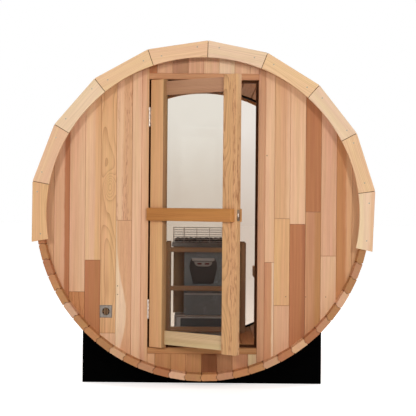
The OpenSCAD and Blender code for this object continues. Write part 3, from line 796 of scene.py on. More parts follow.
@dataclass
class Joinery:
    """Gathers the solids of one piece into one mesh; each board keeps its own tone and grain."""

    name: str
    seed: int = 7
    points: list[Vector] = field(default_factory=list)
    faces: list[list[int]] = field(default_factory=list)
    finish_of: list[int] = field(default_factory=list)
    layers: dict[str, list] = field(default_factory=dict)
    butts: list[float] = field(default_factory=list)

    # Kind and plain value of what each point tells the finishes
    LAYERS: ClassVar[dict[str, tuple[str, object]]] = {
        "grain": ("FLOAT_VECTOR", Vector()),
        "knot": ("FLOAT_VECTOR", FAR),
        "figure": ("FLOAT_VECTOR", Vector()),
        "tone": ("FLOAT_COLOR", (0.5,) * 4),
        "sap_tone": ("FLOAT_COLOR", (0.5,) * 4),
        "sap": ("FLOAT", -99.0),
    }
    KEYS: ClassVar[dict[str, str]] = {"FLOAT_VECTOR": "vector", "FLOAT_COLOR": "color", "FLOAT": "value"}
    # Where a board lay in its log, in metres. A flat-sawn one lies over the pith and shows arches, a
    # quarter-sawn one lies beside it and shows lines
    FLAT_SAWN: ClassVar[tuple[float, float]] = (-0.03, 0.03)
    FLAT_OVER: ClassVar[tuple[float, float]] = (0.03, 0.05)
    QUARTER_SAWN: ClassVar[tuple[float, float]] = (0.12, 0.3)
    QUARTER_OVER: ClassVar[tuple[float, float]] = (0.03, 0.12)
    LOG_LONG: ClassVar[tuple[float, float]] = (0.0, 40.0)
    # A face is a sawn end if its normal follows the fibres at least this closely
    SAWN_END: ClassVar[float] = 0.7

    def __post_init__(self) -> None:
        """Starts the chance and the empty layers."""
        self.rng = random.Random(self.seed)
        self.layers = {name: [] for name in self.LAYERS}

    def take(self, bm: bmesh.types.BMesh, finish: int = 0) -> tuple[int, int]:
        """Adds a mesh's points and faces.

        Args:
            bm: The mesh, which is freed.
            finish: Number of the finish among the piece's own.

        Returns:
            The first point and the first face that were added.
        """
        first, first_face = len(self.points), len(self.faces)
        bm.verts.index_update()
        self.points += [v.co.copy() for v in bm.verts]
        self.faces += [[first + v.index for v in f.verts] for f in bm.faces]
        bm.free()
        fill, fill_faces = len(self.points) - first, len(self.faces) - first_face
        for name, (_, plain) in self.LAYERS.items():
            self.layers[name] += [plain] * fill
        self.finish_of += [finish] * fill_faces
        self.butts += [0.0] * fill_faces
        return first, first_face

    def board(
        self, outline: Outline, place: Place, depth: float, wood: Wood, grain: Grain = Grain.V,
        ease: float = 2.0, rounds: int = 1
    ) -> None:
        """Adds one board.

        Args:
            outline: Corners in the place's u and v.
            place: The board's local frame.
            depth: Its thickness or length along w.
            wood: How the board looks.
            grain: Which way the fibres run.
            ease: Width of its broken edges.
            rounds: Segments of a broken edge.
        """
        first, first_face = self.take(solid(outline, place, depth, ease, rounds))
        rng = self.rng
        across, along, through = grain.value
        fibre = (place.u, place.v, place.w)[along]
        if wood.arched:
            pith, over = rng.uniform(*self.FLAT_SAWN), self.FLAT_OVER
        else:
            pith, over = rng.choice((-1, 1)) * rng.uniform(*self.QUARTER_SAWN), self.QUARTER_OVER
        shift = Vector((pith, rng.uniform(*self.LOG_LONG), rng.uniform(*over)))
        middle = sum(p[across] for p in outline) / len(outline) * MM
        tone, sap = wood.shade(wood.tone, rng), wood.sap
        other = wood.shade(sap.tone, rng) if sap else tone
        for i in range(first, len(self.points)):
            q = place.local(self.points[i])
            own = Vector((q[across], q[along], q[through]))
            self.layers["grain"][i] = own + shift - Vector((middle, 0, 0))
            self.layers["tone"][i] = tone + (1.0,)
            self.layers["figure"][i] = wood.figure
            self.layers["sap_tone"][i] = other + (sap.bulge / sap.soft if sap else 0.0,)
            knot = Vector((*wood.knot, 0)) * MM if wood.knot else own - FAR
            rise = (own[1] / MM - sap.bulge_z) / sap.bulge_long if sap else FAR.z
            self.layers["knot"][i] = Vector((own[0] - knot.x, own[1] - knot.y, rise))
            if sap:
                self.layers["sap"][i] = sap.side * (own[0] / MM - sap.at) / sap.soft
        for k in range(first_face, len(self.faces)):
            loop = [self.points[i] for i in self.faces[k]]
            normal = (loop[1] - loop[0]).cross(loop[2] - loop[1])
            if normal.length > 0 and abs(normal.normalized().dot(fibre)) > self.SAWN_END:
                self.butts[k] = 1.0

    def bar(
        self, low: Sequence[float], high: Sequence[float], wood: Wood, along: Vector, **how: object
    ) -> None:
        """Adds a straight timber.

        Args:
            low: Its lowest corner.
            high: Its highest corner.
            wood: How it looks.
            along: The axis that its fibres follow.
            how: What else board() takes.
        """
        u, v = (Y, Z) if along is X else (X, Z) if along is Y else (X, Y)
        size = Vector(high) - Vector(low)
        outline = box_outline(0, 0, size.dot(u), size.dot(v))
        self.board(outline, Place(Vector(low), u, v, along), size.dot(along), wood, Grain.W, **how)

    def close(self, finishes: Sequence[Spec], body: str, slot: str, *nodes: str) -> None:
        """Makes the object and puts it on its body.

        Args:
            finishes: The piece's finishes.
            body: The body it rides on.
            slot: The record's material slot; not used.
            nodes: CAD nodes that it stands for.
        """
        mesh = bpy.data.meshes.new(self.name)
        mesh.from_pydata(self.points, [], self.faces)
        for finish in finishes:
            mesh.materials.append(made(finish))
        mesh.polygons.foreach_set("material_index", self.finish_of)
        for name, (kind, _) in self.LAYERS.items():
            values = self.layers[name]
            flat = values if kind == "FLOAT" else [c for value in values for c in value]
            mesh.attributes.new(name, kind, "POINT").data.foreach_set(self.KEYS[kind], flat)
        mesh.attributes.new("butt", "FLOAT", "FACE").data.foreach_set("value", self.butts)
        mesh.shade_smooth()
        mesh.set_sharp_from_angle(angle=SMOOTH_EDGE)
        mesh.update()
        obj = bpy.data.objects.new(self.name, mesh)
        bpy.context.scene.collection.objects.link(obj)
        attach(obj, body)
        if nodes:
            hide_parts(*nodes)
        log.info("%s: %d faces on %s", self.name, len(self.faces), body)


def dress(node: str, finish: Spec, ease: float = 0.0, rounds: int = 2) -> None:
    """Gives a CAD node a finish and, where asked, broken edges.

    Args:
        node: The node's name.
        finish: Its finish.
        ease: Width of the broken edges in millimetres.
        rounds: Segments of a broken edge.
    """
    obj = frame["nodes"][node]
    obj.data.materials.clear()
    obj.data.materials.append(made(finish))
    if ease > 0:
        weld = obj.modifiers.new("weld", "WELD")
        weld.merge_threshold = WELD
        bevel = obj.modifiers.new("ease", "BEVEL")
        bevel.width = ease * MM
        bevel.segments = rounds
        bevel.limit_method = "ANGLE"
        bevel.angle_limit = NODE_EDGE
        bevel.harden_normals = True
    log.info("%s: dressed as %s", node, finish.name)


@dataclass
class Barrel:
    """Sizes of the staved shell that the other pieces fit to, in millimetres."""

    stave_n: int = 64
    stave_t: float = 42.0

    def __post_init__(self) -> None:
        """Reads the shell's place from the frame."""
        right, top = corners("staves_right"), corners("staves_top")
        self.pitch = 2 * math.pi / self.stave_n
        self.r_corner = right[1].x
        self.r_out = self.r_corner * math.cos(self.pitch / 2)
        self.r_in = self.r_out - self.stave_t
        self.axis_z = top[1].z - self.r_corner
        self.front_y, self.rear_y = right[0].y, right[1].y

    def rim(self, x: float, r: float) -> float:
        """Half the height of a circle of radius r at a distance x from its middle."""
        return math.sqrt(max(0.0, r * r - x * x))

    def low(self, x: float) -> float:
        """Height of the inside of the staves at x."""
        return self.axis_z - self.rim(x, self.r_in)

    def spoke(self, angle: float, y: float) -> Place:
        """Gives a frame across the barrel.

        Args:
            angle: Clockwise from the top as seen from the front, in radians.
            y: Where along the barrel.

        Returns:
            A frame at the axis: u runs round the barrel, v outwards and w towards the rear.
        """
        u = X * math.cos(angle) - Z * math.sin(angle)
        v = X * math.sin(angle) + Z * math.cos(angle)
        return Place(Vector((0, y, self.axis_z)), u, v, Y)


BARREL = Barrel()


@dataclass
class StaveShell:
    """The staves: flat faces, a bead on one edge, a hollow on the other and eased corners at every joint."""

    bead_out: float = 8.0
    joint: float = 2.8
    corner: float = 4.0
    nick: float = 0.2
    land: float = 1.5
    arc: int = 4
    twist: float = math.radians(0.9)
    spread: float = 0.1
    seed: int = 90
    tones: tuple[tuple[Tone, ...], ...] = (
        (Tone.CARAMEL, Tone.NUT, Tone.DRIFT, Tone.RUSSET), (Tone.TAN, Tone.ROSE, Tone.DRIFT, Tone.CARAMEL),
    )
    ceiling: tuple[tuple[Tone, ...], ...] = ((Tone.CARAMEL,), (Tone.NUT,))

    def section(self) -> list[tuple[float, float]]:
        """Draws one stave's section.

        Returns:
            Corners across and outwards, in millimetres.
        """
        b, c, n = BARREL, self.corner, self.nick
        half = math.tan(b.pitch / 2)
        inner, outer = b.r_in * half - self.joint / 2, b.r_out * half - self.joint / 2
        reach = b.stave_t / 2 - c - self.land
        bead, hollow = [], []
        for k in range(2 * self.arc + 1):
            s = k / self.arc - 1
            r = (b.r_in + b.r_out) / 2 + s * reach
            edge, swell = r * half - self.joint / 2, self.bead_out * (1 - s * s)
            bead.append((edge + swell, r))
            hollow.append((-edge + swell, r))
        low = [(c - inner, b.r_in), (inner - c, b.r_in), (inner - n, b.r_in + c)]
        right = [(outer - n, b.r_out - c), (outer - c, b.r_out)]
        left = [(c - outer, b.r_out), (n - outer, b.r_out - c)]
        return low + bead + right + left + hollow[::-1] + [(n - inner, b.r_in + c)]

    def build(self) -> None:
        """Builds the four quarters of the shell; each stave sits a little turned in its hollow."""
        section = self.section()
        n = BARREL.stave_n
        middle = BARREL.r_out - BARREL.stave_t / 2
        quarters = {"staves_top": -1, "staves_right": 1, "staves_bottom": 3, "staves_left": 5}
        for name, eighth in quarters.items():
            piece = Joinery("cedar_" + name, self.seed + eighth)
            tones = self.ceiling if name == "staves_top" else self.tones
            for i in range(eighth * n // 8, (eighth + 2) * n // 8):
                spoke = BARREL.spoke((i + 0.5) * BARREL.pitch, BARREL.front_y)
                turn = self.twist * piece.rng.uniform(-1.0, 1.0)
                u = spoke.u * math.cos(turn) - spoke.v * math.sin(turn)
                v = spoke.v * math.cos(turn) + spoke.u * math.sin(turn)
                place = Place(spoke.at + (spoke.v - v) * middle, u, v, Y)
                wood = Wood(piece.rng.choice(tones[i % 2]), spread=self.spread)
                piece.board(section, place, BARREL.rear_y - BARREL.front_y, wood, Grain.W, ease=0.0)
            piece.close([STAVE], "cabin", "stave_cedar", name)


@dataclass
class Arch:
    """Ten straight sides over the top of the barrel: the roof boards and the trim at both ends."""

    sides: int = 10
    step: float = math.radians(20.2)
    turn: float = math.radians(1.2)
    gap: float = 2.0
    roof_up: float = 1.8
    roof_t: float = 18.0
    trim_hang: float = 28.0
    boards: int = 4
    board_in: float = 0.6
    screw_off: float = 128.0
    screw_off_swing: tuple[float, float] = (-14.0, 14.0)
    screw_r: float = 1046.0
    screw_r_swing: tuple[float, float] = (-14.0, 12.0)
    roof_tones: tuple[Tone, ...] = (Tone.CARAMEL, Tone.TAN, Tone.AMBER, Tone.ROSE)
    roof_spread: float = 0.08
    trim_gap: float = 3.2
    trim_arc: int = 7
    # A near-black strip in each joint of the trim is painted shade: how far it reaches past the gap, how far
    # in it stops and how deep it is sunk
    shade_fill_over: float = 0.4
    shade_fill_in: float = 4.0
    shade_fill_sunk: float = 3.0
    woods: tuple[Wood, ...] = (
        Wood(Tone.HONEY, arched=0.4), Wood(Tone.APRICOT), Wood(Tone.PALE, arched=0.3), Wood(Tone.SAND),
        Wood(Tone.APRICOT, arched=0.3), Wood(Tone.PALE), Wood(Tone.SAND, arched=0.4),
        Wood(Tone.PALE), Wood(Tone.SAND, arched=0.4), Wood(Tone.PALE, Sap(Tone.APRICOT, 1062, 1, 14.0)),
    )

    def __post_init__(self) -> None:
        """Works out the radii from the barrel."""
        self.roof_in = BARREL.r_corner + self.roof_up
        self.roof_out = self.roof_in + self.roof_t
        self.trim_r = BARREL.r_in - self.trim_hang

    def angle(self, i: int) -> float:
        """Angle of one side, clockwise from the top."""
        return (i - (self.sides - 1) / 2) * self.step + self.turn

    def build(self) -> None:
        """Builds the roof boards and the trim."""
        self.build_roof()
        self.build_trim()

    def build_roof(self) -> None:
        """Lays the roof boards, four to a side."""
        piece = Joinery("cedar_roof_boards", 31)
        wide = 2 * (self.roof_in * math.tan(self.step / 2) - self.gap / 2) / self.boards
        for i in range(self.sides):
            place = BARREL.spoke(self.angle(i), BARREL.front_y)
            for k in range(self.boards):
                a = (k - self.boards / 2) * wide
                ends = a + self.board_in, self.roof_in, a + wide - self.board_in, self.roof_out
                outline = box_outline(*ends)
                wood = Wood(piece.rng.choice(self.roof_tones), spread=self.roof_spread)
                piece.board(outline, place, BARREL.rear_y - BARREL.front_y, wood, Grain.W)
        piece.close([STAVE], "cabin", "roof_cedar", "roof_panels")

    def board_outline(self) -> list[tuple[float, float]]:
        """Draws one trim board: a straight outer edge, a curved inner edge and slanting ends.

        Returns:
            Corners round the barrel and outwards, in millimetres.
        """
        back = self.trim_gap / (2 * math.sin(self.step / 2))
        half = (self.roof_out - back) * math.tan(self.step / 2)
        reach = self.step / 2 - self.trim_gap / 2 / self.trim_r
        turns = [reach * (k / self.trim_arc - 1) for k in range(2 * self.trim_arc + 1)]
        inner = [(self.trim_r * math.sin(a), self.trim_r * math.cos(a)) for a in turns]
        return [(half, self.roof_out), (-half, self.roof_out)] + inner

    def build_trim(self) -> None:
        """Cuts the trim boards for both ends, sets a near-black strip into each joint as painted shade of the
        open joint, and drives the screws.
        """
        outline = self.board_outline()
        half, inset = self.trim_gap / 2 + self.shade_fill_over, self.shade_fill_in
        top = self.roof_out / math.cos(self.step / 2)
        shade_fill = box_outline(-half, self.trim_r + inset, half, top - inset)
        for name, way in (("front_arch_trim", -1), ("rear_arch_trim", 1)):
            low, high = corners(name)
            piece = Joinery("cedar_" + name, 5)
            for i, wood in enumerate(self.woods):
                place = BARREL.spoke(self.angle(i), low.y)
                piece.board(outline, place, high.y - low.y, wood, Grain.U, ease=1.6)
                # Each joint gets a near-black strip, painted shade of the open joint
                if i > 0:
                    start = low.y + inset - way * self.shade_fill_sunk
                    joint = BARREL.spoke(self.angle(i) - self.step / 2, start)
                    piece.board(shade_fill, joint, high.y - low.y - 2 * inset, Wood(Tone.PAINTED_SHADE), ease=0.0)
                face = Vector((0, low.y if way < 0 else high.y, BARREL.axis_z))
                for end in (-1, 1):
                    off = end * (self.screw_off + piece.rng.uniform(*self.screw_off_swing))
                    spot = face + place.u * off
                    spot += place.v * (self.screw_r + piece.rng.uniform(*self.screw_r_swing))
                    piece.take(screw_head(Place(spot, place.u, place.v, Y * way)), 1)
            piece.close([TRIM, SCREW], "cabin", "trim_cedar", name)


@dataclass(frozen=True)
class Strip:
    """One column of wall boards: its edges, its boards from the top down and where they butt."""

    left: float
    right: float
    woods: tuple[Wood, ...]
    joints: tuple[float, ...] = ()


Columns = tuple[tuple[tuple[Wood, ...], tuple[float, ...]], ...]


@dataclass
class FrontWall:
    """The boarded end wall with its door frame and the vent, in millimetres and radians."""

    rim_r: float = 1029.0
    rim_in: float = 2.0
    rim_arc: int = 5
    post_arc: int = 3
    seam: float = 1.0
    butt_in: float = 0.3
    stop_w: float = 15.0
    stop_clear: float = 6.0
    stop_in: float = 0.3
    notch: float = 20.0
    vent_r: float = 23.4
    vent_lip: float = 1.6
    vent_deep: float = 9.0
    vent_half: float = 38.0
    vent_corner: float = 3.0
    vent_screw: float = 33.0
    vent_screw_r: float = 3.0
    mouth_clear: float = 0.4
    mouth_slot: float = 0.1
    mouth_arc: int = 16
    slat_pitch: float = 9.6
    slat_half: float = 2.8
    slat_in: float = 0.5
    slat_deep: float = 5.0
    slat_t: float = 4.0
    nail_r: float = 3.4
    nails: tuple[tuple[float, float], ...] = (
        (-548.0, 591.0), (-548.0, 646.0), (539.0, 586.0), (668.0, 586.0), (797.0, 586.0), (410.0, 1497.0),
    )
    board: float = 100.5
    first: float = 461.0
    # Columns from the door outwards: their boards from the top down and the heights at which these butt
    left: Columns = (
        ((Wood(Tone.APRICOT),), ()),
        ((Wood(Tone.PEACH, Sap(Tone.TAN, -517, 1, 6.0), fleck=0.45),
          Wood(Tone.TAN, Sap(Tone.PALE, -556, -1, 6.0, 63.0, 470.0), fleck=0.1)), (1071,)),
        ((Wood(Tone.HONEY, arched=0.7, knot=(-604, 1290)), Wood(Tone.APRICOT, arched=0.5)), (341,)),
        ((Wood(Tone.PEACH, Sap(Tone.HONEY, -700, 1, 8.0)), Wood(Tone.RUSSET)), (812,)),
        ((Wood(Tone.ROSE, Sap(Tone.PEACH, -800, 1, 12.0)), Wood(Tone.CARAMEL, fleck=0.5)), (606,)),
        ((Wood(Tone.ROSE, Sap(Tone.RUSSET, -896, 1, 7.0)),), ()),
        ((Wood(Tone.TAN),), ()),
    )
    right: Columns = (
        ((Wood(Tone.PEACH), Wood(Tone.DRIFT, Sap(Tone.PALE, 447, 1, 5.0))), (806,)),
        ((Wood(Tone.TAN, Sap(Tone.PEACH, 540, 1, 8.0)), Wood(Tone.HONEY), Wood(Tone.ROSE)), (1090, 528)),
        ((Wood(Tone.PEACH), Wood(Tone.RUSSET, Sap(Tone.UMBER, 640, 1, 8.0))), (1055,)),
        ((Wood(Tone.RUSSET), Wood(Tone.DRIFT, Sap(Tone.NUT, 722, 1, 12.0))), (1135,)),
        ((Wood(Tone.BLUSH), Wood(Tone.PEACH)), (851,)),
        ((Wood(Tone.CARAMEL, Sap(Tone.HONEY, 925, 1, 12.0)),), ()),
        ((Wood(Tone.TAN),), ()),
    )
    # Boards over and under the door from left to right, and the seams between them
    over: tuple[Tone, ...] = (
        Tone.RUSSET, Tone.ROSE, Tone.ASH, Tone.ROSE, Tone.APRICOT, Tone.PALE, Tone.PEACH, Tone.APRICOT,
    )
    # Under the door the boards have darker tones, partly painted shade from the open door above them
    under: tuple[Tone, ...] = (
        Tone.TAN, Tone.NUT, Tone.NUT, Tone.NUT, Tone.BARK, Tone.HAZEL, Tone.DRIFT, Tone.STRAW,
    )
    seams: tuple[float, ...] = (-304.0, -204.0, -103.0, -3.0, 97.0, 197.0, 298.0)

    def __post_init__(self) -> None:
        """Reads the wall's and the frame's places."""
        low, high = corners("front_wall_right")
        self.y, self.thick = low.y, high.y - low.y
        low, high = corners("right_door_post")
        self.post_in, self.post_out = low.x, high.x
        self.frame_y, self.frame_to = low.y, high.y
        self.head = [c.z for c in corners("door_header")]
        self.sill = [c.z for c in corners("door_sill")]
        low, high = corners("vent_plate")
        self.vent = Vector(((low.x + high.x) / 2, low.y, (low.z + high.z) / 2))

    def end_points(self, left: float, right: float, up: int) -> list[tuple[float, float]]:
        """Gives the curved end of a strip where it meets the staves, from left to right."""
        xs = [left + (right - left) * k / self.rim_arc for k in range(self.rim_arc + 1)]
        return [(x, BARREL.axis_z + up * BARREL.rim(x, self.rim_r)) for x in xs]

    def lay(self, piece: Joinery, strip: Strip, low: float | None = None, high: float | None = None) -> None:
        """Lays one column of boards.

        Args:
            piece: Where the boards go.
            strip: The column.
            low: Height of a straight lower end, or None for the curve of the staves.
            high: Height of a straight upper end, or None for the curve.
        """
        a, b = strip.left + self.seam / 2, strip.right - self.seam / 2
        tops = [high, *(z - self.butt_in for z in strip.joints)]
        feet = [*(z + self.butt_in for z in strip.joints), low]
        place = Place(Vector((0, self.y, 0)), X, Z, Y)
        for wood, top, foot in zip(strip.woods, tops, feet):
            upper = self.end_points(a, b, 1) if top is None else [(a, top), (b, top)]
            lower = self.end_points(a, b, -1) if foot is None else [(a, foot), (b, foot)]
            mouth = self.mouth(a) if a < self.vent.x < b and upper[0][1] > self.vent.z > lower[0][1] else []
            piece.board(lower + upper[::-1] + mouth, place, self.thick, wood, ease=1.6)

    def mouth(self, left: float) -> list[tuple[float, float]]:
        """Draws the vent's round hole with a slot to the board's left edge, which the plate covers.

        Args:
            left: The board's left edge.

        Returns:
            Points to add to the board's outline.
        """
        x, z, r, n = self.vent.x, self.vent.z, self.vent_r + self.mouth_clear, self.mouth_arc
        turns = [(math.pi - self.mouth_slot) * (1 - k / n) for k in range(2 * n + 1)]
        ring = [(x + r * math.cos(a), z + r * math.sin(a)) for a in turns]
        return [(left, ring[0][1])] + ring + [(left, ring[-1][1])]

    def build(self) -> None:
        """Builds the boards, the door's frame and the vent."""
        self.build_boards()
        self.build_frame()
        self.build_stops()
        self.build_vent()

    def build_boards(self) -> None:
        """Boards the wall on both sides of the door, over it and under it."""
        seams = [self.first + k * self.board for k in range(len(self.left) - 1)]
        edges = [self.post_out, *seams, self.rim_r - self.rim_in]
        for name, side, columns, seed in (("left", -1, self.left, 11), ("right", 1, self.right, 12)):
            piece = Joinery(f"cedar_wall_boards_{name}", seed)
            for one, two, (woods, joints) in zip(edges, edges[1:], columns):
                a, b = sorted((side * one, side * two))
                self.lay(piece, Strip(a, b, woods, joints))
            for x, z in self.nails:
                if x * side > 0:
                    piece.take(screw_head(Place(Vector((x, self.y, z)), X, Z, -Y), self.nail_r), 1)
            piece.close([WALL, NAIL], "cabin", "wall_cedar", f"front_wall_{name}")
        edges = [-self.post_in, *self.seams, self.post_in]
        for name, tones, ends, seed in (
            ("over", self.over, {"low": self.head[1]}, 13), ("under", self.under, {"high": self.sill[0]}, 14),
        ):
            piece = Joinery(f"cedar_wall_boards_{name}_door", seed)
            for a, b, tone in zip(edges, edges[1:], tones):
                self.lay(piece, Strip(a, b, (Wood(tone),)), **ends)
            piece.close([WALL], "cabin", "wall_cedar", f"front_wall_{name}_door")

    def build_frame(self) -> None:
        """Builds the posts, the header and the sill."""
        woods = {-1: Wood(Tone.ROSE, Sap(Tone.TAN, -368, 1, 6.0)), 1: Wood(Tone.CLAY)}
        for name, side in (("left", -1), ("right", 1)):
            a, b = sorted((side * self.post_in, side * self.post_out))
            xs = [a + (b - a) * k / self.post_arc for k in range(self.post_arc + 1)]
            outline = [(x, BARREL.low(x)) for x in xs]
            outline += [(x, 2 * BARREL.axis_z - BARREL.low(x)) for x in xs[::-1]]
            piece = Joinery(f"cedar_{name}_door_post", 21 + side)
            place = Place(Vector((0, self.frame_y, 0)), X, Z, Y)
            piece.board(outline, place, self.frame_to - self.frame_y, woods[side], ease=2.5, rounds=2)
            piece.close([WALL], "cabin", "wall_cedar", f"{name}_door_post")
        # The sill's darker tone is partly painted shade from the door above it
        for name, (low, high), tone in (("header", self.head, Tone.DRIFT), ("sill", self.sill, Tone.NUT)):
            piece = Joinery(f"cedar_door_{name}", int(low))
            ends = (-self.post_in, self.frame_y, low), (self.post_in, self.frame_to, high)
            piece.bar(*ends, Wood(tone), X, ease=3.0, rounds=2)
            piece.close([WALL], "cabin", "wall_cedar", f"door_{name}")

    def build_stops(self) -> None:
        """Builds the strips that the door closes against, near-black brown as painted shade inside the
        doorway.
        """
        piece = Joinery("cedar_door_stops", 23)
        low, high = corners("door_stops")
        bar = corners("door_inner_bar")
        wide, clear, right = self.stop_w, self.stop_clear, high.x - self.stop_w
        uprights = (low.x, low.z, high.z), (right, low.z, bar[0].z - clear), (right, bar[1].z + clear, high.z)
        for x, foot, top in uprights:
            piece.bar((x, low.y, foot), (x + wide, high.y, top), Wood(Tone.PAINTED_SHADE), Z, ease=1.5)
        ends = (right, low.y + self.notch, bar[0].z - clear), (high.x, high.y, bar[1].z + clear)
        piece.bar(*ends, Wood(Tone.PAINTED_SHADE), Z, ease=1.5)
        for z in (low.z, high.z - wide):
            ends = (low.x + wide + self.stop_in, low.y, z), (right - self.stop_in, high.y, z + wide)
            piece.bar(*ends, Wood(Tone.PAINTED_SHADE), X, ease=1.5)
        piece.close([INNER], "cabin", "inner_cedar", "door_stops")

    def build_vent(self) -> None:
        """Dresses the vent's plate, screws it on and puts slats into its round mouth."""
        dress("vent_plate", VENT, 0.5, 2)
        at, r, lip, half = self.vent, self.vent_r, self.vent_lip, self.vent_half
        piece = Joinery("vent_louvre")
        for a, b in box_outline(-self.vent_screw, -self.vent_screw, self.vent_screw, self.vent_screw):
            piece.take(screw_head(Place(at + X * a + Z * b, X, Z, -Y), self.vent_screw_r))
        rim = rounded(-half, -half, half, half, self.vent_corner, 3)
        piece.take(tube([at + X * a + Z * b for a, b in rim], lip, True, 10))
        collar = [(r, -self.vent_deep), (r, 0.2), (r + lip, 0.9), (r + 2 * lip, 0.2), (r + 2 * lip, -1.0)]
        piece.take(lathe(collar, Place(at, X, Z, -Y), 48))
        piece.close([VENT], "cabin", "hinge_steel")
        slats = Joinery("cedar_vent_shutter", 42)
        place = Place(at + Y * self.slat_deep, X, Z, Y)
        for x in (k * self.slat_pitch for k in range(-2, 3)):
            half = math.sqrt((r - self.slat_in) ** 2 - (abs(x) + self.slat_half) ** 2)
            outline = box_outline(x - self.slat_half, -half, x + self.slat_half, half)
            slats.board(outline, place, self.slat_t, Wood(Tone.SMOKE), ease=0.6)
        # The damper behind the slats is near-black brown, painted shade in the vent's mouth
        slats.bar(*corners("vent_damper"), Wood(Tone.PAINTED_SHADE), Z)
        slats.close([INNER], "cabin", "inner_cedar", "vent_damper")


@dataclass
class Door:
    """The glazed door, which stands ajar: thick stiles, thin rails set back, and a bar on each face."""

    edge: float = 4.0
    proud: float = 6.5
    gaps: float = 16.0
    clear: float = 6.0
    stile: float = 107.0
    thick: float = 45.0
    rail: tuple[float, float] = (26.0, 45.0)
    low_rail: tuple[float, float] = (26.0, 115.0)
    top_rail: tuple[float, float] = (1628.0, 1717.0)
    bar: tuple[float, float] = (821.0, 903.0)
    outer_in: tuple[float, float] = (0.0, 12.0)
    outer_depth: tuple[float, float] = (-38.0, 0.0)
    inner_in: tuple[float, float] = (60.0, 3.0)
    inner_depth: tuple[float, float] = (45.0, 64.0)
    # Width of the darker strip that paints shade along the left stile's inner edge
    edge_shade_w: float = 3.0
    screw_in: float = 13.0
    screw_r: float = 3.4

    def __post_init__(self) -> None:
        """Reads the hinge and the doorway from the frame."""
        joint = frame["joints"][0]
        sill = corners("door_sill")[1].z
        self.ajar = -math.radians(joint["range_deg"][0])
        self.pin = Vector((joint["pos_m"][0] / MM, joint["pos_m"][1] / MM, sill))
        self.wide = 2 * corners("right_door_post")[0].x - self.gaps
        self.high = corners("door_header")[0].z - sill - 2 * self.clear

    def frame_at(self, x: float, y: float, z: float) -> Place:
        """Gives the door's own frame at a point of it.

        Args:
            x: How far along the door's width.
            y: How far through it.
            z: How far above the sill.

        Returns:
            A frame there: u along the width, v through the door and w up.
        """
        u = Vector((math.cos(self.ajar), -math.sin(self.ajar), 0))
        v = Vector((math.sin(self.ajar), math.cos(self.ajar), 0))
        return Place(self.pin + u * (self.edge + x) + v * (self.proud + y) + Z * z, u, v, Z)

    def upright(self, name: str, x: float, wood: Wood, seed: int) -> None:
        """Builds one stile, its edges rounded over.

        Args:
            name: Which stile.
            x: Where it starts along the door.
            wood: How it looks.
            seed: Start of its chance.
        """
        piece = Joinery(f"cedar_door_{name}_stile", seed)
        outline = box_outline(0, 0, self.stile, self.thick)
        place = self.frame_at(x, 0, self.clear)
        piece.board(outline, place, self.high, wood, Grain.W, ease=3.5, rounds=3)
        piece.close([OILED], "door", "door_cedar", f"door_{name}_stile")

    def across(
        self, name: str, span: tuple[float, float], depth: tuple[float, float], height: tuple[float, float],
        wood: Wood, ease: float
    ) -> None:
        """Builds one rail or bar across the door.

        Args:
            name: The CAD node that it stands for.
            span: From where to where along the door.
            depth: From where to where through it.
            height: From where to where above the sill.
            wood: How it looks.
            ease: Width of its rounded edges.
        """
        piece = Joinery(f"cedar_{name}", int(height[0] + depth[1]))
        base = self.frame_at(span[0], depth[0], height[0])
        outline = box_outline(0, 0, depth[1] - depth[0], height[1] - height[0])
        place = Place(base.at, base.v, Z, base.u)
        piece.board(outline, place, span[1] - span[0], wood, Grain.W, ease=ease, rounds=3)
        piece.close([OILED], "door", "door_cedar", name)

    def build(self) -> None:
        """Builds the door and dresses its glass and its fittings."""
        wide = self.wide
        # A darker strip along the left stile's inner edge is painted shade on its side face
        painted_edge_shade = Sap(Tone.DUSK, self.stile - self.edge_shade_w, 1, 1.0)
        self.upright("left", 0.0, Wood(Tone.AMBER, painted_edge_shade), 51)
        self.upright("right", wide - self.stile, Wood(Tone.AMBER, arched=0.8, fleck=0.9), 52)
        inner = (self.stile, wide - self.stile)
        self.across("door_top_rail", inner, self.rail, self.top_rail, Wood(Tone.ASH, arched=0.8), 1.5)
        self.across("door_bottom_rail", inner, self.rail, self.low_rail, Wood(Tone.WHEAT, arched=0.8), 1.5)
        for side, (start, end), depth, ease in (
            ("outer", self.outer_in, self.outer_depth, 5.0), ("inner", self.inner_in, self.inner_depth, 4.0),
        ):
            self.across(f"door_{side}_bar", (start, wide - end), depth, self.bar, Wood(Tone.GOLD), ease)
        dress("door_glass", CLEAR)
        for node in ("hinge_door_leaves", "hinge_frame_leaves", "door_catch", "door_strike"):
            dress(node, SATIN, 0.4, 2)
        screws = Joinery("catch_screws")
        for z in (self.bar[0] + self.screw_in, self.bar[1] - self.screw_in):
            base = self.frame_at(wide, self.thick / 2, z)
            screws.take(screw_head(Place(base.at, base.v, Z, base.u), self.screw_r))
        screws.close([SCREW], "door", "hinge_steel")


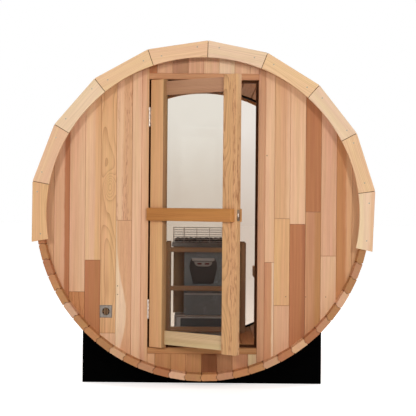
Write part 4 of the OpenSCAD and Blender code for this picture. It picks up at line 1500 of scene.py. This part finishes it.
@dataclass
class Benches:
    """A bench along each side: a rounded nosing, four slats and three frames."""

    nosing_t: float = 38.0
    nosing_h: float = 84.0
    slat_t: float = 27.0
    slats: int = 4
    gap: float = 9.0
    bearer_h: float = 64.0
    leg_in: float = 16.0
    timber: float = 38.0
    frames: int = 3
    tones: tuple[Tone, ...] = (Tone.TAN, Tone.AMBER, Tone.APRICOT, Tone.CARAMEL)

    def build(self) -> None:
        """Builds both benches."""
        low, high = corners("right_bench_seat")
        slat_from = low.x + self.nosing_t + self.gap
        wide = (high.x - slat_from - (self.slats - 1) * self.gap) / self.slats
        for name, side in (("left", -1), ("right", 1)):
            piece = Joinery(f"cedar_{name}_bench_seat", 61 + side)
            a, b = sorted((side * low.x, side * (low.x + self.nosing_t)))
            ends = (a, low.y, high.z - self.nosing_h), (b, high.y, high.z)
            # The nosing's pale tone is partly painted light on its end, which faces the doorway
            piece.bar(*ends, Wood(Tone.PALE), Y, ease=5.0, rounds=3)
            for k in range(self.slats):
                s = slat_from + k * (wide + self.gap)
                a, b = sorted((side * s, side * (s + wide)))
                wood = Wood(piece.rng.choice(self.tones))
                piece.bar((a, low.y, high.z - self.slat_t), (b, high.y, high.z), wood, Y, ease=3.0, rounds=2)
            piece.close([INNER], "cabin", "inner_cedar", f"{name}_bench_seat")
            self.supports(name, side, low, high)

    def supports(self, name: str, side: int, low: Vector, high: Vector) -> None:
        """Builds the three frames under one bench, cut to the curve of the staves.

        Args:
            name: Which bench.
            side: -1 for the left and 1 for the right.
            low: Lowest corner of the right-hand seat.
            high: Highest corner of the right-hand seat.
        """
        piece = Joinery(f"cedar_{name}_bench_supports", 71 + side)
        t = self.timber
        top, foot = high.z - self.slat_t, high.z - self.slat_t - self.bearer_h
        back = [BARREL.rim(BARREL.axis_z - z, BARREL.r_in) for z in (foot, top)]
        near, leg_x = low.x + self.nosing_t, low.x + self.leg_in
        far = leg_x + t
        bearer = [(near, foot), (back[0], foot), (back[1], top), (near, top)]
        leg = [(leg_x, BARREL.low(leg_x)), (far, BARREL.low(far)), (far, foot), (leg_x, foot)]
        for k in range(self.frames):
            y = low.y + k * (high.y - low.y - t) / (self.frames - 1)
            place = Place(Vector((0, y, 0)), X * side, Z, Y)
            piece.board(bearer, place, t, Wood(Tone.TAN), Grain.U)
            piece.board(leg, place, t, Wood(Tone.CARAMEL), Grain.V)
        piece.close([INNER], "cabin", "inner_cedar", f"{name}_bench_supports")


@dataclass
class Guard:
    """Wooden fence round the heater, and the boards behind it."""

    post: float = 38.0
    rail_h: float = 38.0
    rail_t: float = 22.0
    mid_rail: float = 483.0
    back_boards: int = 5
    back_in: float = 18.0
    board_in: float = 0.6
    wood: Wood = Wood(Tone.SMOKE, spread=0.08)

    def build(self) -> None:
        """Builds the posts, the rails and the backboard."""
        low, high = corners("guard_posts")
        p, wood = self.post, self.wood
        posts = Joinery("cedar_guard_posts", 81)
        for x in (low.x, high.x - p):
            for y in (low.y, high.y - p):
                outline = [(x, BARREL.low(x)), (x + p, BARREL.low(x + p)), (x + p, high.z), (x, high.z)]
                posts.board(outline, Place(Vector((0, y, 0)), X, Z, Y), p, wood, ease=2.5, rounds=2)
        posts.close([INNER], "cabin", "inner_cedar", "guard_posts")
        rails = Joinery("cedar_guard_rails", 82)
        inset = (p - self.rail_t) / 2
        foot, top = (c.z for c in corners("guard_rails"))
        for z in (foot, self.mid_rail, top - self.rail_h):
            y = low.y + inset
            ends = (low.x + p, y, z), (high.x - p, y + self.rail_t, z + self.rail_h)
            rails.bar(*ends, wood, X, ease=2.5, rounds=2)
            for x in (low.x + inset, high.x - inset - self.rail_t):
                ends = (x, low.y + p, z), (x + self.rail_t, high.y - p, z + self.rail_h)
                rails.bar(*ends, wood, Y, ease=2.5, rounds=2)
        rails.close([INNER], "cabin", "inner_cedar", "guard_rails")
        back = Joinery("cedar_heater_backboard", 83)
        low, high = corners("heater_backboard")
        left = low.x + self.back_in
        wide = (high.x - left) / self.back_boards
        for k in range(self.back_boards):
            x, gap = left + k * wide, self.board_in
            back.bar((x + gap, low.y, low.z), (x + wide - gap, high.y, high.z), wood, Z)
        back.close([INNER], "cabin", "inner_cedar", "heater_backboard")


@dataclass
class Heater:
    """Electric heater with its stones in a wire cage on a steel tray, in millimetres."""

    corner: float = 7.0
    shield_off: float = 19.0
    shield_down: float = 299.0
    shield_t: float = 15.0
    shield: Outline = ((81, 0), (97, 60), (109, 118), (112, 139), (110, 160), (104, 182), (92, 208))
    handle: tuple[float, ...] = (-92, 184, 92, 208, 7)
    handle_t: float = 35.0
    housing: Outline = ((44, 140), (60, 148), (70, 162), (74, 180))
    housing_t: float = 20.0
    window_x: float = 30.0
    window_half: float = 18.0
    window_z: tuple[float, float] = (155.0, 168.0)
    window_t: float = 21.5
    strip_up: float = 164.0
    strip_h: float = 15.0
    strip_t: float = 4.0
    strip_in: float = 6.0
    frame_r: float = 9.0
    frame_corner: float = 20.0
    frame_up: float = 52.0
    box_back: float = 6.0
    plate_in: float = 50.0
    plate_up: float = 6.0
    plate_down: float = 26.0
    plate_back: float = 3.0
    plate_t: float = 6.0
    sheet_t: float = 3.0
    wall_drop: float = 2.0
    rim_r: float = 3.4
    rim_drop: float = 3.5
    stone_r: tuple[float, float] = (25.0, 33.0)
    stone_flat: float = 0.8
    stone_in: float = 2.0
    stone_x: float = 8.0
    stone_y: float = 6.0
    stone_z: tuple[float, float] = (-2.0, 4.0)
    cuts: int = 9
    cut_at: tuple[float, float] = (0.6, 0.92)
    chips: float = 0.02
    layers: tuple[tuple[int, int, float], ...] = ((10, 4, 22.0), (13, 5, 46.0))
    columns: tuple[float, ...] = (-178.0, -74.0, 31.0, 136.0, 241.0)
    wire: float = 1.7
    wire_corner: float = 16.0
    rings: int = 9
    cage_drop: float = 8.0
    side_in: float = 40.0

    def __post_init__(self) -> None:
        """Reads the heater's place from the frame."""
        low, high = corners("heater_base_box")
        self.x, self.y, self.back = (low.x + high.x) / 2, low.y, high.y
        self.foot, self.half_base = high.z, (high.x - low.x) / 2
        low, high = corners("heater_cabinet")
        self.half, self.top = (high.x - low.x) / 2, high.z

    def build_cabinet(self) -> None:
        """Builds the cabinet with its shield, handle bar, lamp housing and a strip across its foot."""
        piece = Joinery("heater_cabinet_sheet")
        body = box_outline(-self.half, 0, self.half, self.back - self.y)
        place = Place(Vector((self.x, self.y, self.foot)), X, Y, Z)
        piece.take(solid(body, place, self.top - self.foot, ease=self.corner, rounds=3), 0)
        front = Place(Vector((self.x - self.shield_off, self.y + 1, self.top - self.shield_down)), X, Z, -Y)
        piece.take(solid(mirrored(self.shield), front, self.shield_t, ease=4.0, rounds=3), 1)
        piece.take(solid(rounded(*self.handle), front, self.handle_t, ease=4.0, rounds=3), 2)
        piece.take(solid(mirrored(self.housing), front, self.housing_t, ease=3.0, rounds=2), 3)
        for x in (-self.window_x, self.window_x):
            low, high = self.window_z
            window = rounded(x - self.window_half, low, x + self.window_half, high, 4, 3)
            piece.take(solid(window, front, self.window_t, ease=1.0, rounds=2), 4)
        half = self.half - self.strip_in
        strip = Place(Vector((self.x, self.y + 1, self.foot + self.strip_up)), X, Z, -Y)
        outline = box_outline(-half, 0, half, self.strip_h)
        piece.take(solid(outline, strip, self.strip_t, ease=1.5, rounds=2), 2)
        piece.close([ENAMEL, SHIELD, FRAME, HOUSING, LENS], "cabin", "heater_paint", "heater_cabinet")

    def build_base(self) -> None:
        """Builds the box that stands on the staves, with its rounded frame and dark plate."""
        piece = Joinery("heater_base_box_sheet")
        half, r = self.half_base, self.frame_r
        xs = [-half, -half / 2, 0, half / 2, half]
        outline = [(x, BARREL.low(self.x + x)) for x in xs] + [(half, self.foot), (-half, self.foot)]
        place = Place(Vector((self.x, self.y + self.box_back, 0)), X, Z, Y)
        piece.take(solid(outline, place, self.back - self.y - self.box_back, ease=4.0, rounds=3), 0)
        low = BARREL.low(0) + self.frame_up
        ring = rounded(-half + r, low, half - r, self.foot - r, self.frame_corner)
        piece.take(tube([Vector((self.x + a, self.y + r, b)) for a, b in ring], r, True, 12), 2)
        side = half - self.plate_in
        plate = rounded(-side, low + self.plate_up, side, self.foot - self.plate_down, 8)
        place = Place(Vector((self.x, self.y + self.plate_back, 0)), X, Z, Y)
        piece.take(solid(plate, place, self.plate_t, ease=1.0), 1)
        piece.close([FRAME, PLATE, SHEET], "cabin", "heater_steel", "heater_base_box")

    def build_tray(self) -> None:
        """Builds the tray: four thin walls, a floor and a rolled rim."""
        piece = Joinery("stone_tray_sheet")
        low, high = corners("stone_tray")
        half, d, t, r = (high.x - low.x) / 2, high.y - low.y, self.sheet_t, self.rim_r
        place = Place(Vector((self.x, low.y, low.z)), X, Y, Z)
        piece.take(solid(box_outline(-half, 0, half, d), place, t, ease=0.8), 0)
        long_walls = (-half, 0, half, t), (-half, d - t, half, d)
        short_walls = (-half, t, t - half, d - t), (half - t, t, half, d - t)
        for wall in long_walls + short_walls:
            piece.take(solid(box_outline(*wall), place, high.z - low.z - self.wall_drop, ease=0.6), 0)
        ring, z = rounded(-half + r, r, half - r, d - r, 4, 2), high.z - self.rim_drop
        piece.take(tube([Vector((self.x + a, low.y + b, z)) for a, b in ring], r, True, 10), 1)
        piece.close([DULL, SHEET], "cabin", "heater_steel", "stone_tray")

    def build_stones(self) -> None:
        """Fills the tray with split stones of many sizes, in two layers."""
        piece = Joinery("split_heater_stones", 94)
        rng, flat = piece.rng, self.stone_flat
        low, high = corners("heater_stones")
        half, deep = (high.x - low.x) / 2 - self.stone_in, (high.y - low.y) / 2 - self.stone_in
        for cols, rows, up in self.layers:
            for i in range(cols):
                for j in range(rows):
                    r = rng.uniform(*self.stone_r)
                    x = ((i + 0.5) / cols * 2 - 1) * half + rng.uniform(-self.stone_x, self.stone_x)
                    y = ((j + 0.5) / rows * 2 - 1) * deep + rng.uniform(-self.stone_y, self.stone_y)
                    x, y = max(r - half, min(half - r, x)), max(r - deep, min(deep - r, y))
                    z = max(up + rng.uniform(*self.stone_z), r * flat)
                    z = low.z + min(z, high.z - low.z - r * flat)
                    self.stone(piece, Vector((self.x + x, (low.y + high.y) / 2 + y, z)), r)
        piece.close([ROCK], "cabin", "heater_stone", "heater_stones")

    def stone(self, piece: Joinery, at: Vector, radius: float) -> None:
        """Adds one split stone: a ball cut by a few chance planes.

        Args:
            piece: Where it goes.
            at: Its middle.
            radius: Its radius before the cuts.
        """
        rng = piece.rng
        bm = bmesh.new()
        bmesh.ops.create_icosphere(bm, subdivisions=2, radius=1.0)
        ways = [Vector([rng.uniform(-1, 1) for _ in range(3)]).normalized() for _ in range(self.cuts)]
        cuts = [(way, rng.uniform(*self.cut_at)) for way in ways]
        for v in bm.verts:
            for way, reach in cuts:
                v.co -= way * max(0.0, v.co.dot(way) - reach)
            v.co *= 1 + rng.uniform(-self.chips, self.chips)
            v.co = (at + Vector((v.co.x, v.co.y, v.co.z * self.stone_flat)) * radius) * MM
        piece.take(bm)

    def build_cage(self) -> None:
        """Builds the wire cage: rings with round corners, and uprights inside them."""
        piece = Joinery("stone_cage_wire")
        low, high = corners("stone_cage")
        w, top = self.wire, high.z - self.cage_drop
        ring = rounded(low.x + w, low.y + w, high.x - w, high.y - w, self.wire_corner, 4)
        for k in range(self.rings):
            z = low.z + w + k * (top - low.z - 2 * w) / (self.rings - 1)
            piece.take(tube([Vector((a, b, z)) for a, b in ring], w, True))
        ways = low.y + self.side_in, (low.y + high.y) / 2, high.y - self.side_in
        uprights = [(self.x + c, y) for c in self.columns for y in (low.y + 3 * w, high.y - 3 * w)]
        uprights += [(x, y) for x in (low.x + 3 * w, high.x - 3 * w) for y in ways]
        for x, y in uprights:
            piece.take(tube([Vector((x, y, low.z)), Vector((x, y, top - w))], w))
        piece.close([WIRE], "cabin", "heater_steel", "stone_cage")

    def build(self) -> None:
        """Builds the whole heater."""
        self.build_cabinet()
        self.build_base()
        self.build_tray()
        self.build_stones()
        self.build_cage()


@dataclass
class RearWindow:
    """The round rear glass in its black rubber ring: how much of the ring shows and its rounded lip."""

    show: float = 15.0
    lip: float = 3.0
    steps: int = 192

    def build(self) -> None:
        """Builds the ring, and the pane that reaches into it."""
        inner, lip = BARREL.r_in - self.show, self.lip
        low, high = corners("rear_gasket")
        outer, deep = high.x, high.y - low.y
        lips = [(inner + lip, 0), (inner, lip), (inner, deep - lip), (inner + lip, deep)]
        ring = [(outer, 0), *lips, (outer, deep), (outer, 0)]
        self.turn("rear_glass_rubber_ring", ring, RUBBER, "black_rubber", "rear_gasket")
        low, high = corners("rear_glass")
        edge, thick = inner + 2 * lip, high.y - low.y
        pane = [(0, 0), (edge, 0), (edge, thick), (0, thick)]
        self.turn("rear_glass_pane", pane, BRONZE, "clear_glass", "rear_glass")

    def turn(self, name: str, profile: Outline, finish: Spec, slot: str, node: str) -> None:
        """Turns one piece round the barrel's axis.

        Args:
            name: Its name.
            profile: Radius and depth of its corners.
            finish: Its finish.
            slot: The record's material slot.
            node: The CAD node that it stands for.
        """
        piece = Joinery(name)
        place = Place(Vector((0, corners(node)[0].y, BARREL.axis_z)), X, -Z, Y)
        piece.take(lathe(profile, place, self.steps))
        piece.close([finish], "cabin", slot, node)


@dataclass(frozen=True)
class Lamp:
    """A soft rectangular lamp: its place, the point that it faces and its size in metres, and its watts."""

    name: str
    at: Triple
    aim: Triple
    size: tuple[float, float]
    watts: float
    hidden: tuple[str, ...] = ()

    def hang(self, side: int = 1) -> None:
        """Hangs the lamp.

        Args:
            side: 1 as written, or -1 for its twin on the other side.
        """
        at = Vector((side * self.at[0], *self.at[1:]))
        data = bpy.data.lights.new(self.name, "AREA")
        data.shape = "RECTANGLE"
        data.size, data.size_y = self.size
        data.energy = self.watts
        lamp = bpy.data.objects.new(self.name, data)
        lamp.location = at
        lamp.rotation_euler = (Vector(self.aim) - at).to_track_quat("-Z", "Y").to_euler()
        for kind in self.hidden:
            setattr(lamp, "visible_" + kind, False)
        bpy.context.scene.collection.objects.link(lamp)


@dataclass
class Studio:
    """White floor, soft lamps before and beside the object, a weak fill in the doorway, and the camera."""

    distance: float = 7.6
    height: float = 1.174
    lens: float = 103.06
    sensor: float = 36.0
    shift: tuple[float, float] = (0.0117, -0.0072)
    roll: float = math.radians(0.5)
    far: float = 200.0
    ambient: float = 0.375
    floor_size: float = 60.0
    pairs: tuple[Lamp, ...] = (
        Lamp("soft_lamp", (2.4, -8.2, 2.9), (0, -0.2, 1.1), (0.75, 0.75), 169.0),
        Lamp("flank_lamp", (5.0, 3.2, 4.2), (0, 1.5, 1.1), (2.0, 2.0), 125.0, ("camera",)),
    )
    fill: Lamp = Lamp(
        "doorway_fill", (0, -0.06, 1.2), (0, 2.0, 1.2), (0.6, 1.5), 8.0, ("camera", "glossy", "transmission")
    )

    def build_floor(self) -> None:
        """Lays a wide floor."""
        bm = bmesh.new()
        bmesh.ops.create_grid(bm, x_segments=2, y_segments=2, size=self.floor_size)
        mesh = bpy.data.meshes.new("studio_floor")
        bm.to_mesh(mesh)
        bm.free()
        mesh.materials.append(made(FLOOR))
        floor = bpy.data.objects.new("studio_floor", mesh)
        bpy.context.scene.collection.objects.link(floor)

    def build_world(self) -> None:
        """Sets an even surrounding that shows white and lights the object softly."""
        bpy.context.scene.world = bpy.data.worlds.new("studio")
        t = Tree(bpy.context.scene.world)
        level = t.add("MapRange", {0: shown(t), 3: self.ambient, 4: 1.0})
        t.add("OutputWorld", {0: t.add("Background", {0: (1, 1, 1, 1), 1: level})})

    def build_camera(self) -> None:
        """Sets the camera level in front of the door, with the photograph's framing."""
        data = bpy.data.cameras.new("camera")
        data.lens = self.lens
        data.sensor_width = self.sensor
        data.shift_x, data.shift_y = self.shift
        data.clip_end = self.far
        camera = bpy.data.objects.new("camera", data)
        eye = Vector((0, BARREL.front_y * MM - self.distance, self.height))
        turn = Matrix.Rotation(math.radians(90), 4, "X") @ Matrix.Rotation(self.roll, 4, "Z")
        camera.matrix_world = Matrix.Translation(eye) @ turn
        bpy.context.scene.collection.objects.link(camera)
        bpy.context.scene.camera = camera
        bpy.context.scene.view_settings.view_transform = "Standard"

    def build(self) -> None:
        """Builds the studio."""
        self.build_floor()
        self.build_world()
        for lamp in self.pairs:
            lamp.hang(-1)
            lamp.hang(1)
        self.fill.hang()
        self.build_camera()


def main() -> None:
    """Builds every sub-assembly in order, dresses the bands and cradles, and sets up the studio."""
    logging.basicConfig(level=logging.INFO, format="%(name)s: %(message)s")
    for assembly in (StaveShell(), Arch(), FrontWall(), Door(), Benches(), Guard(), Heater(), RearWindow()):
        assembly.build()
    dress("steel_bands", BAND)
    for node in ("front_cradle", "rear_cradle"):
        dress(node, CRADLE, 4.0)
    Studio().build()


if __name__ == "__main__":
    main()
